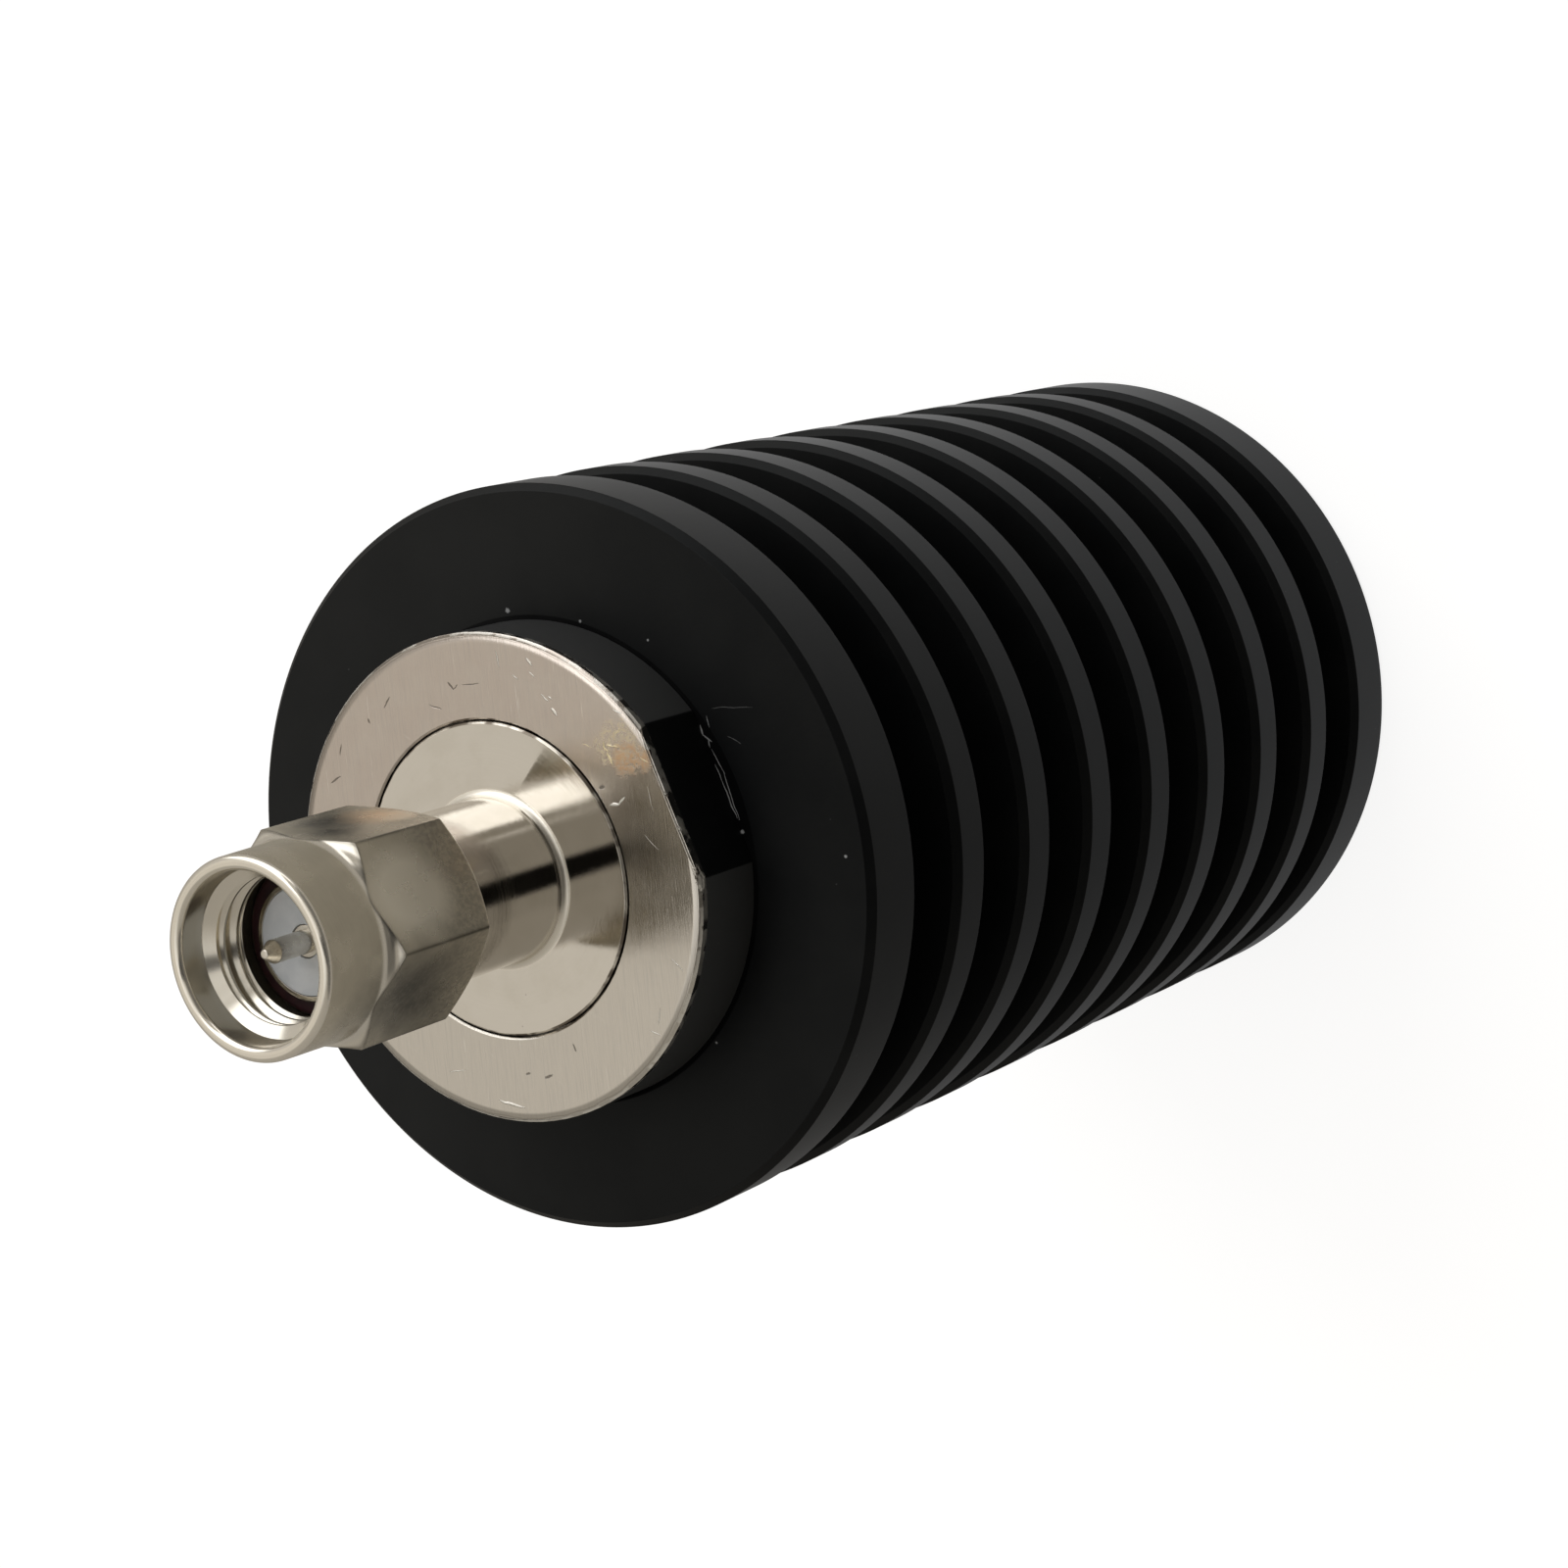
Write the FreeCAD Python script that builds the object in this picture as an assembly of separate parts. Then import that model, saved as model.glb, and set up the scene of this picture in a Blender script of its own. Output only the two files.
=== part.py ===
import FreeCAD, Part
import math
import os

# Coaxial terminator: a threaded male coaxial connector on a round finned heat sink.
# Millimetres. The axis is +Z, the rear face rests at z = 0 and the connector points up.
# The two wrench flats face +X and -X. Inside, the resistor's shelf faces +Y.

# Heat sink, turned from one bar
FIN_OD = 31.0
FIN_COUNT = 9
FIN_GAP = 3.35
FIRST_FIN = 3.15
THIN_FIN = 2.05
LAST_FIN = 3.30
FIN_BEVEL = 0.30
FIN_EDGE_BREAK = 0.10
ROOT_OD = 19.4
ROOT_RADIUS = 0.50
HUB_OD = 20.0
HUB_HEIGHT = 3.25
ACROSS_FLATS = 19.0
REAR_WALL = 11.5

# Load core, the plated slug with the silver front plate
PLATE_THICKNESS = 0.40
PLATE_BEVEL = 0.12
CORE_OD = 15.0
CORE_END_GAP = 0.40
CORE_REAR_DISC = 4.0
FLANGE_SEAT_WALL = 1.0

# Connector body, a turned shell with a round flange
FLANGE_THICKNESS = 2.0
JOINT_GAP = 0.08
JOINT_BEVEL = 0.08
NECK_OD = 6.80
NECK_LENGTH = 5.60
NECK_FILLET = 0.25
NECK_BEVEL = 0.20
TUBE_OD = 5.24
SHELL_OD = 4.74
SHELL_BEVEL = 0.08
REFERENCE_HEIGHT = 11.60
INSULATOR_OD = 4.20
INSULATOR_LENGTH = 9.85
AIR_LINE_OD = 2.92
RING_GROOVE_OD = 4.74

# Coupling nut
NUT_LENGTH = 9.15
NUT_ACROSS_FLATS = 7.94
NUT_CORNER_TURN = 34.4
NUT_HEX_LENGTH = 5.51
NUT_BLEND_LENGTH = 0.73
NUT_COLLAR_OD = 7.90
NUT_ENVELOPE_OD = 9.30
NUT_REAR_BEVEL = 0.79
NUT_REAR_BEVEL_HEIGHT = 0.57
NUT_LIP_RADIUS = 0.18
NUT_MOUTH_OD = 6.66
NUT_MOUTH_DEPTH = 1.20
NUT_MOUTH_FOOT = 0.35
NUT_MOUTH_TAPER = 0.06
NUT_LEAD_IN = 0.28
NUT_THREAD_BORE = 5.64
NUT_REAR_WALL = 3.35
NUT_RELIEF_OD = 6.50
NUT_RELIEF_LENGTH = 2.45
NUT_RING_GROOVE_OD = 6.20
NUT_RING_HEIGHT = 1.55
NUT_FLOAT = 0.35

# Retaining ring and gasket
RING_ID = 4.80
RING_OD = 6.04
RING_THICKNESS = 0.50
RING_SPLIT = 0.90
GASKET_OD = 6.00
GASKET_THICKNESS = 0.90
GASKET_SETBACK = 0.30

# Centre contact and the bead at its back
PIN_OD = 0.91
PIN_LENGTH = 2.30
PIN_TAPER_LENGTH = 0.50
PIN_TIP_OD = 0.34
PIN_TIP_ROUND = 0.08
CONTACT_OD = 1.27
CONTACT_SETBACK = 0.05
BEAD_OD = 4.20
BEAD_LENGTH = 3.0
CONTACT_SLOT_DEPTH = 2.0

# Resistor, a film chip on a screwed base
BASE_SIDE_GAP = 0.70
BASE_REAR_GAP = 1.50
BASE_LENGTH = 15.50
BASE_THICKNESS = 1.00
CHIP_WIDTH = 6.40
CHIP_LENGTH = 8.00
CHIP_THICKNESS = 1.00
CHIP_INSET = 0.50
SOLDER_THICKNESS = 0.06
FILM_THICKNESS = 0.04
FILM_WIDTH = 4.00
FILM_LENGTH = 3.00
INPUT_PAD_WIDTH = 3.00
INPUT_PAD_LENGTH = 2.30
GROUND_PAD_WIDTH = 5.40
PAD_INSET = 0.20
LEAD_WIDTH = 1.00
LEAD_THICKNESS = 0.20
LEAD_OVERLAP = 1.30
LID_WIDTH = 5.40
LID_LENGTH = 4.20
LID_THICKNESS = 0.80
LEAD_SPAN = 1.50

# Fasteners
BASE_SCREW_OD = 2.00
BASE_HEAD_STEP = 0.30
BASE_HEAD_HEIGHT = 1.30
BASE_WASHER_GAP = 0.40
BASE_WASHER_THICKNESS = 0.40
BASE_SCREW_INSET = 2.40
BASE_HOLE_WALL = 0.635
COVER_SCREW_OD = 1.60
COVER_SCREW_EDGE = 3.20
COVER_HOLE_WALL = 0.40
COVER_HEAD_OD = 2.90
COVER_HEAD_HEIGHT = 1.00
COVER_HEAD_SEAT = 4.60
DRIVE_ACROSS_FLATS = 0.90
DRIVE_DEPTH = 0.60

# Core cover, the half-round lid over the pocket
COVER_WALL = 1.80
COVER_END_BLOCK = 3.50

# Clearances
SEAT = 0.02
RUNNING = 0.08
AXIAL_RUNNING = 0.03
NUT_REST_GAP = 0.10
HOLE_EXTRA_DEPTH = 0.60
HEAD_CLEARANCE = 0.20
TINY = 0.01

# Heights across the axis: the resistor's pads lie on the axis, so its stack sets the shelf
CHIP_TOP_Y = -FILM_THICKNESS
CHIP_Y = CHIP_TOP_Y - CHIP_THICKNESS
BASE_TOP_Y = CHIP_Y - SOLDER_THICKNESS
SHELF_Y = BASE_TOP_Y - BASE_THICKNESS
COVER_SEAT_Y = SHELF_Y + COVER_HEAD_SEAT

# Sizes that follow the core's diameter: the connector's seat, the cavity and what lies in it
PLATE_HOLE_OD = CORE_OD - 2 * FLANGE_SEAT_WALL
FLANGE_OD = PLATE_HOLE_OD - 2 * JOINT_GAP
CAVITY_OD = CORE_OD - 2 * COVER_WALL
CAVITY_HALF_WIDTH = math.sqrt((CAVITY_OD / 2) ** 2 - SHELF_Y ** 2)
BASE_WIDTH = 2 * (CAVITY_HALF_WIDTH - BASE_SIDE_GAP)
BASE_SCREW_SPACING = BASE_WIDTH / 2
BASE_WASHER_OD = BASE_SCREW_SPACING - BASE_WASHER_GAP
BASE_HEAD_OD = BASE_WASHER_OD - 2 * BASE_HEAD_STEP
COVER_SCREW_SPACING = CORE_OD - 2 * COVER_SCREW_EDGE

# How deep the screws go under the shelf, with a wall left under each hole's outer edge
BASE_HOLE_REACH = (BASE_SCREW_SPACING + BASE_SCREW_OD) / 2
BASE_METAL = math.sqrt((CORE_OD / 2) ** 2 - BASE_HOLE_REACH ** 2) + SHELF_Y
BASE_SCREW_GRIP = BASE_METAL - BASE_HOLE_WALL - HOLE_EXTRA_DEPTH
COVER_HOLE_REACH = (COVER_SCREW_SPACING + COVER_SCREW_OD) / 2
COVER_METAL = math.sqrt((CORE_OD / 2) ** 2 - COVER_HOLE_REACH ** 2) + SHELF_Y
COVER_SCREW_GRIP = COVER_METAL - COVER_HOLE_WALL - HOLE_EXTRA_DEPTH / 2

# Heights along the axis, from the rear face up. The pocket is as long as what lies in it needs
POCKET_LENGTH = (2 * COVER_END_BLOCK + CONTACT_SLOT_DEPTH / 2 + LEAD_SPAN - CHIP_INSET
                 + BASE_LENGTH + BASE_REAR_GAP)
FIN_FACE_Z = FIRST_FIN + LAST_FIN + (FIN_COUNT - 2) * THIN_FIN + (FIN_COUNT - 1) * FIN_GAP
HUB_Z = FIN_FACE_Z + HUB_HEIGHT
PLATE_Z = HUB_Z + PLATE_THICKNESS
FLANGE_Z = PLATE_Z - FLANGE_THICKNESS
NECK_Z = PLATE_Z + NECK_LENGTH
REFERENCE_Z = PLATE_Z + REFERENCE_HEIGHT
GASKET_TOP_Z = REFERENCE_Z - GASKET_SETBACK
GASKET_Z = GASKET_TOP_Z - GASKET_THICKNESS
INSULATOR_Z = REFERENCE_Z - INSULATOR_LENGTH
BEAD_Z = FLANGE_Z - BEAD_LENGTH
NUT_Z = NECK_Z + NUT_REST_GAP
RING_Z = NUT_Z + NUT_RING_HEIGHT
CORE_Z = REAR_WALL + CORE_END_GAP
POCKET_Z = CORE_Z + CORE_REAR_DISC
POCKET_TOP_Z = POCKET_Z + POCKET_LENGTH
CAVITY_Z = POCKET_Z + COVER_END_BLOCK
CAVITY_TOP_Z = POCKET_TOP_Z - COVER_END_BLOCK
CONTACT_Z = CAVITY_TOP_Z - CONTACT_SLOT_DEPTH / 2
CHIP_TOP_Z = CONTACT_Z - LEAD_SPAN
BASE_TOP_Z = CHIP_TOP_Z + CHIP_INSET
BASE_Z = BASE_TOP_Z - BASE_LENGTH
CHIP_Z = CHIP_TOP_Z - CHIP_LENGTH
BASE_SCREW_Z = BASE_Z + BASE_SCREW_INSET
COVER_SCREW_ZS = (POCKET_Z + COVER_END_BLOCK / 2, POCKET_TOP_Z - COVER_END_BLOCK / 2)

AXIS = FreeCAD.Vector(0, 0, 1)
ORIGIN = FreeCAD.Vector(0, 0, 0)


def section_point(point):
    """A point of a turned profile, given as radius and height."""
    return FreeCAD.Vector(point[0], 0, point[1])


def turned(profile):
    """A solid turned about the axis from a closed profile.

    Each entry is a corner (radius, height), or a corner with the arc's middle point before it.
    """
    edges = []
    for start, end in zip(profile, profile[1:] + profile[:1]):
        first = section_point(start)
        last = section_point(end)
        if len(end) == 4:
            edges.append(Part.Arc(first, section_point(end[2:]), last).toShape())
        else:
            edges.append(Part.LineSegment(first, last).toShape())
    return Part.Face(Part.Wire(edges)).revolve(ORIGIN, AXIS, 360)


def arc_to(start, centre, end):
    """The end corner of an arc about a centre, under half a turn, with the arc's middle point."""
    radius = math.dist(start, centre)
    across = (start[0] + end[0]) / 2 - centre[0]
    along = (start[1] + end[1]) / 2 - centre[1]
    reach = radius / math.hypot(across, along)
    return (end[0], end[1], centre[0] + reach * across, centre[1] + reach * along)


def rod(diameter, low, high):
    """A round rod along the axis."""
    return Part.makeCylinder(diameter / 2, high - low, FreeCAD.Vector(0, 0, low), AXIS)


def cross_rod(diameter, x, z, low, high):
    """A round rod across the axis, along +Y."""
    return Part.makeCylinder(diameter / 2, high - low, FreeCAD.Vector(x, low, z), FreeCAD.Vector(0, 1, 0))


def slab(width, y_low, y_high, z_low, z_high):
    """A flat block, centred across X."""
    corner = FreeCAD.Vector(-width / 2, y_low, z_low)
    return Part.makeBox(width, y_high - y_low, z_high - z_low, corner)


def between_flats(shape, low, high):
    """Cuts a round shape down to the two wrench flats between two heights."""
    reach = FIN_OD
    for side in (1, -1):
        start = ACROSS_FLATS / 2 if side == 1 else -ACROSS_FLATS / 2 - reach
        shape = shape.cut(Part.makeBox(reach, 2 * reach, high - low, FreeCAD.Vector(start, -reach, low)))
    return shape


def fin_spans():
    """The rear and front height of every fin, from the rear one to the front one."""
    spans = [(0.0, LAST_FIN)]
    for number in range(FIN_COUNT - 1):
        low = spans[-1][1] + FIN_GAP
        thickness = FIRST_FIN if number == FIN_COUNT - 2 else THIN_FIN
        spans.append((low, low + thickness))
    return spans


def fin_profile(low, high, rear_bevel):
    """A fin's outline from its root up its rear face, over its rim and back down its front face."""
    root = ROOT_OD / 2
    rim = FIN_OD / 2
    outline = [
        (rim - rear_bevel, low),
        (rim, low + rear_bevel),
        (rim, high - FIN_BEVEL),
        (rim - FIN_BEVEL, high),
    ]
    if low > 0:
        foot = (root, low - ROOT_RADIUS)
        outline.insert(0, arc_to(foot, (root + ROOT_RADIUS, low - ROOT_RADIUS), (root + ROOT_RADIUS, low)))
        outline.insert(0, foot)
    if high < FIN_FACE_Z:
        face = (root + ROOT_RADIUS, high)
        outline.append(face)
        outline.append(arc_to(face, (root + ROOT_RADIUS, high + ROOT_RADIUS), (root, high + ROOT_RADIUS)))
    return outline


def make_heat_sink():
    """One turned piece: the fins, the hub with its wrench flats and a blind bore for the core."""
    bore = CORE_OD / 2 + SEAT
    profile = [(0, REAR_WALL), (0, 0)]
    for low, high in fin_spans():
        rear_bevel = FIN_BEVEL if low == 0 else FIN_EDGE_BREAK
        profile += fin_profile(low, high, rear_bevel)
    profile += [(HUB_OD / 2, FIN_FACE_Z), (HUB_OD / 2, HUB_Z), (bore, HUB_Z), (bore, REAR_WALL)]
    return between_flats(turned(profile), FIN_FACE_Z, HUB_Z)


def make_load_core():
    """The plated slug: front plate with flats, seats for the connector and bead, and a screw shelf."""
    plate = HUB_OD / 2
    core = CORE_OD / 2
    slug = turned([
        (0, CORE_Z),
        (core, CORE_Z),
        (core, HUB_Z),
        (plate, HUB_Z),
        (plate, PLATE_Z - PLATE_BEVEL),
        (plate - PLATE_BEVEL, PLATE_Z),
        (0, PLATE_Z),
    ])
    slug = between_flats(slug, HUB_Z, PLATE_Z)
    seat = PLATE_HOLE_OD / 2
    slug = slug.cut(turned([
        (0, FLANGE_Z),
        (seat, FLANGE_Z),
        (seat, PLATE_Z - JOINT_BEVEL),
        (seat + JOINT_BEVEL, PLATE_Z),
        (0, PLATE_Z),
    ]))
    slug = slug.cut(rod(BEAD_OD + 2 * SEAT, BEAD_Z, FLANGE_Z))
    slug = slug.cut(rod(AIR_LINE_OD, POCKET_TOP_Z - TINY, BEAD_Z))
    slug = slug.cut(slab(FIN_OD, SHELF_Y, FIN_OD, POCKET_Z, POCKET_TOP_Z))
    for x, z in base_screw_places():
        depth = BASE_SCREW_GRIP + HOLE_EXTRA_DEPTH
        slug = slug.cut(cross_rod(BASE_SCREW_OD + 2 * SEAT, x, z, SHELF_Y - depth, SHELF_Y))
    for x, z in cover_screw_places():
        depth = COVER_SCREW_GRIP + HOLE_EXTRA_DEPTH / 2
        slug = slug.cut(cross_rod(COVER_SCREW_OD + 2 * SEAT, x, z, SHELF_Y - depth, SHELF_Y))
    return slug


def make_core_cover():
    """The half-round lid: it closes the pocket, and its end blocks take the four screws."""
    lid = rod(CORE_OD, POCKET_Z + SEAT, POCKET_TOP_Z - SEAT)
    lid = lid.common(slab(FIN_OD, SHELF_Y, FIN_OD, 0, PLATE_Z))
    lid = lid.cut(rod(CAVITY_OD, CAVITY_Z, CAVITY_TOP_Z))
    lid = lid.cut(rod(AIR_LINE_OD, CAVITY_TOP_Z - TINY, POCKET_TOP_Z))
    for x, z in cover_screw_places():
        lid = lid.cut(cross_rod(COVER_SCREW_OD + HEAD_CLEARANCE, x, z, SHELF_Y, CORE_OD))
        lid = lid.cut(cross_rod(COVER_HEAD_OD + HEAD_CLEARANCE, x, z, COVER_SEAT_Y, CORE_OD))
    return lid


def cover_screw_places():
    """The four cover screws, as X and height."""
    return [(side * COVER_SCREW_SPACING / 2, z) for z in COVER_SCREW_ZS for side in (-1, 1)]


def base_screw_places():
    """The two screws of the resistor's base, as X and height."""
    return [(side * BASE_SCREW_SPACING / 2, BASE_SCREW_Z) for side in (-1, 1)]


def make_connector_body():
    """The connector's turned shell: flange, neck, tube for the nut and outer contact."""
    flange = FLANGE_OD / 2
    neck = NECK_OD / 2
    tube = TUBE_OD / 2
    shell = SHELL_OD / 2
    air = AIR_LINE_OD / 2
    hole = INSULATOR_OD / 2 + SEAT
    groove = RING_GROOVE_OD / 2
    groove_low = RING_Z - AXIAL_RUNNING
    groove_high = RING_Z + RING_THICKNESS + NUT_FLOAT + AXIAL_RUNNING
    fillet_foot = (neck + NECK_FILLET, PLATE_Z)
    fillet_centre = (neck + NECK_FILLET, PLATE_Z + NECK_FILLET)
    return turned([
        (air, FLANGE_Z),
        (flange, FLANGE_Z),
        (flange, PLATE_Z - JOINT_BEVEL),
        (flange - JOINT_BEVEL, PLATE_Z),
        fillet_foot,
        arc_to(fillet_foot, fillet_centre, (neck, PLATE_Z + NECK_FILLET)),
        (neck, NECK_Z - NECK_BEVEL),
        (neck - NECK_BEVEL, NECK_Z),
        (tube, NECK_Z),
        (tube, groove_low),
        (groove, groove_low),
        (groove, groove_high),
        (tube, groove_high),
        (tube, GASKET_Z),
        (shell, GASKET_Z),
        (shell, REFERENCE_Z - SHELL_BEVEL),
        (shell - SHELL_BEVEL, REFERENCE_Z),
        (hole, REFERENCE_Z),
        (hole, INSULATOR_Z),
        (air, INSULATOR_Z),
    ])


def make_coupling_nut():
    """A turned blank cut to a hexagon behind, with a round collar and a stepped, threaded bore."""
    bore = TUBE_OD / 2 + RUNNING
    envelope = NUT_ENVELOPE_OD / 2
    collar = NUT_COLLAR_OD / 2
    lip = NUT_LIP_RADIUS
    mouth = NUT_MOUTH_OD / 2
    thread = NUT_THREAD_BORE / 2
    relief = NUT_RELIEF_OD / 2
    groove = NUT_RING_GROOVE_OD / 2
    front = NUT_Z + NUT_LENGTH
    mouth_z = front - NUT_MOUTH_DEPTH
    hex_z = NUT_Z + NUT_HEX_LENGTH
    blend_z = hex_z + NUT_BLEND_LENGTH
    rise = envelope - collar
    blend_radius = (rise ** 2 + NUT_BLEND_LENGTH ** 2) / (2 * rise)
    blend_centre = (collar + blend_radius, blend_z)
    groove_low = RING_Z - AXIAL_RUNNING
    groove_high = RING_Z + RING_THICKNESS + AXIAL_RUNNING
    wall_z = NUT_Z + NUT_REAR_WALL
    relief_z = wall_z + NUT_RELIEF_LENGTH
    blank = turned([
        (bore, NUT_Z),
        (envelope - NUT_REAR_BEVEL, NUT_Z),
        (envelope, NUT_Z + NUT_REAR_BEVEL_HEIGHT),
        (envelope, hex_z),
        arc_to((envelope, hex_z), blend_centre, (collar, blend_z)),
        (collar, front - lip),
        arc_to((collar, front - lip), (collar - lip, front - lip), (collar - lip, front)),
        (mouth + lip, front),
        arc_to((mouth + lip, front), (mouth + lip, front - lip), (mouth, front - lip)),
        (mouth, mouth_z + NUT_MOUTH_FOOT),
        (mouth - NUT_MOUTH_TAPER, mouth_z),
        (thread, mouth_z - NUT_LEAD_IN),
        (thread, relief_z + (relief - thread)),
        (relief, relief_z),
        (relief, wall_z),
        (bore, wall_z),
        (bore, groove_high),
        (groove, groove_high),
        (groove, groove_low),
        (bore, groove_low),
    ])
    return blank.common(hexagonal_bar(NUT_ACROSS_FLATS, NUT_CORNER_TURN, NUT_Z, front))


def hexagonal_bar(across_flats, corner_turn, low, high):
    """A hexagonal bar along the axis, with its first corner turned from +X by the given angle."""
    corner_radius = across_flats / 2 / math.cos(math.radians(30))
    corners = []
    for number in range(7):
        angle = math.radians(corner_turn + 60 * number)
        corners.append(FreeCAD.Vector(corner_radius * math.cos(angle), corner_radius * math.sin(angle), low))
    return Part.Face(Part.makePolygon(corners)).extrude(FreeCAD.Vector(0, 0, high - low))


def make_retaining_ring():
    """A split ring of flat wire, sprung into the grooves of the tube and the nut."""
    ring = rod(RING_OD, RING_Z, RING_Z + RING_THICKNESS)
    ring = ring.cut(rod(RING_ID, RING_Z, RING_Z + RING_THICKNESS))
    return ring.cut(slab(RING_SPLIT, 0, RING_OD, RING_Z, RING_Z + RING_THICKNESS))


def make_gasket():
    """The soft ring round the outer contact, which seals against the mating connector."""
    inner = SHELL_OD / 2 + SEAT
    outer = GASKET_OD / 2
    edge = (outer - inner) / 3
    low = (outer - edge, GASKET_TOP_Z)
    return turned([
        (inner, GASKET_Z),
        (outer, GASKET_Z),
        (outer, GASKET_TOP_Z - edge),
        arc_to((outer, GASKET_TOP_Z - edge), (outer - edge, GASKET_TOP_Z - edge), low),
        (inner, GASKET_TOP_Z),
    ])


def make_front_insulator():
    """The white insulator, flush with the outer contact's end."""
    disc = rod(INSULATOR_OD, INSULATOR_Z, REFERENCE_Z)
    return disc.cut(rod(CONTACT_OD + 2 * SEAT, INSULATOR_Z, REFERENCE_Z))


def make_rear_insulator():
    """The bead that centres the contact's back end, held between the core and the connector."""
    disc = rod(BEAD_OD, BEAD_Z, FLANGE_Z)
    return disc.cut(rod(CONTACT_OD + 2 * SEAT, BEAD_Z, FLANGE_Z))


def make_centre_contact():
    """The pin and its rod in one piece, with a slot at the back for the resistor's lead."""
    contact = CONTACT_OD / 2
    pin = PIN_OD / 2
    tip = PIN_TIP_OD / 2
    shoulder_z = REFERENCE_Z - CONTACT_SETBACK
    tip_z = REFERENCE_Z + PIN_LENGTH
    round_z = tip_z - PIN_TIP_ROUND
    body = turned([
        (0, CONTACT_Z),
        (contact, CONTACT_Z),
        (contact, shoulder_z),
        (pin, shoulder_z),
        (pin, tip_z - PIN_TAPER_LENGTH),
        (tip, round_z),
        (tip - PIN_TIP_ROUND, tip_z),
        (0, tip_z),
    ])
    slot = slab(CONTACT_OD, -SEAT, LEAD_THICKNESS + SEAT, CONTACT_Z, CONTACT_Z + CONTACT_SLOT_DEPTH)
    return body.cut(slot)


def make_resistor_base():
    """The plated copper base, with two screw holes behind the chip."""
    base = slab(BASE_WIDTH, SHELF_Y, BASE_TOP_Y, BASE_Z, BASE_TOP_Z)
    for x, z in base_screw_places():
        base = base.cut(cross_rod(BASE_SCREW_OD + HEAD_CLEARANCE, x, z, SHELF_Y, BASE_TOP_Y))
    return base


def make_resistor_parts():
    """The chip, what is printed on it, the solder under it, its lead and its lid."""
    pad_top = CHIP_TOP_Z - PAD_INSET
    pad_low = pad_top - INPUT_PAD_LENGTH
    film_low = pad_low - FILM_LENGTH
    lid_low = (film_low + pad_low) / 2 - LID_LENGTH / 2
    lead_low = pad_top - LEAD_OVERLAP
    lead_high = CONTACT_Z + CONTACT_SLOT_DEPTH - SEAT
    return {
        "chip_solder": slab(CHIP_WIDTH, BASE_TOP_Y, CHIP_Y, CHIP_Z, CHIP_TOP_Z),
        "resistor_chip": slab(CHIP_WIDTH, CHIP_Y, CHIP_TOP_Y, CHIP_Z, CHIP_TOP_Z),
        "input_pad": slab(INPUT_PAD_WIDTH, CHIP_TOP_Y, 0, pad_low, pad_top),
        "resistor_film": slab(FILM_WIDTH, CHIP_TOP_Y, 0, film_low, pad_low),
        "ground_pad": slab(GROUND_PAD_WIDTH, CHIP_TOP_Y, 0, CHIP_Z, film_low),
        "resistor_lead": slab(LEAD_WIDTH, 0, LEAD_THICKNESS, lead_low, lead_high),
        "resistor_lid": slab(LID_WIDTH, 0, LID_THICKNESS, lid_low, lid_low + LID_LENGTH),
    }


def screw(diameter, head_diameter, head_height, x, z, seat_y, tip_y):
    """A socket screw across the axis, with its head on the seat."""
    body = cross_rod(diameter, x, z, tip_y, seat_y + head_height / 2)
    body = body.fuse(cross_rod(head_diameter, x, z, seat_y, seat_y + head_height))
    corner_radius = DRIVE_ACROSS_FLATS / 2 / math.cos(math.radians(30))
    corners = []
    for number in range(7):
        angle = math.radians(60 * number)
        offset = (corner_radius * math.cos(angle), corner_radius * math.sin(angle))
        corners.append(FreeCAD.Vector(x + offset[0], seat_y + head_height - DRIVE_DEPTH, z + offset[1]))
    socket = Part.Face(Part.makePolygon(corners)).extrude(FreeCAD.Vector(0, DRIVE_DEPTH, 0))
    return body.cut(socket)


def make_cover_screws():
    """Four small screws that hold the cover on the core."""
    tip_y = SHELF_Y - COVER_SCREW_GRIP
    size = (COVER_SCREW_OD, COVER_HEAD_OD, COVER_HEAD_HEIGHT)
    return Part.makeCompound([screw(*size, x, z, COVER_SEAT_Y, tip_y) for x, z in cover_screw_places()])


def make_base_screws():
    """Two screws that press the resistor's base on the core's shelf."""
    seat_y = BASE_TOP_Y + BASE_WASHER_THICKNESS
    tip_y = SHELF_Y - BASE_SCREW_GRIP
    size = (BASE_SCREW_OD, BASE_HEAD_OD, BASE_HEAD_HEIGHT)
    return Part.makeCompound([screw(*size, x, z, seat_y, tip_y) for x, z in base_screw_places()])


def make_base_washers():
    """A washer under each base screw."""
    washers = []
    top = BASE_TOP_Y + BASE_WASHER_THICKNESS
    for x, z in base_screw_places():
        ring = cross_rod(BASE_WASHER_OD, x, z, BASE_TOP_Y, top)
        hole = cross_rod(BASE_SCREW_OD + HEAD_CLEARANCE, x, z, BASE_TOP_Y, top)
        washers.append(ring.cut(hole))
    return Part.makeCompound(washers)


def main():
    """Makes every piece and writes one file for each."""
    pieces = {
        "heat_sink": make_heat_sink(),
        "load_core": make_load_core(),
        "core_cover": make_core_cover(),
        "cover_screws": make_cover_screws(),
        "connector_body": make_connector_body(),
        "coupling_nut": make_coupling_nut(),
        "retaining_ring": make_retaining_ring(),
        "gasket": make_gasket(),
        "front_insulator": make_front_insulator(),
        "rear_insulator": make_rear_insulator(),
        "centre_contact": make_centre_contact(),
        "resistor_base": make_resistor_base(),
        "base_screws": make_base_screws(),
        "base_washers": make_base_washers(),
    }
    pieces.update(make_resistor_parts())
    os.makedirs("parts", exist_ok=True)
    for name, shape in pieces.items():
        shape.exportStep("parts/" + name + ".step")
        heights = f"z {shape.BoundBox.ZMin:.2f} to {shape.BoundBox.ZMax:.2f}"
        print(f"{name}: {len(shape.Solids)} solid, {shape.Volume:.2f} mm3, {heights}")


main()
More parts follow.
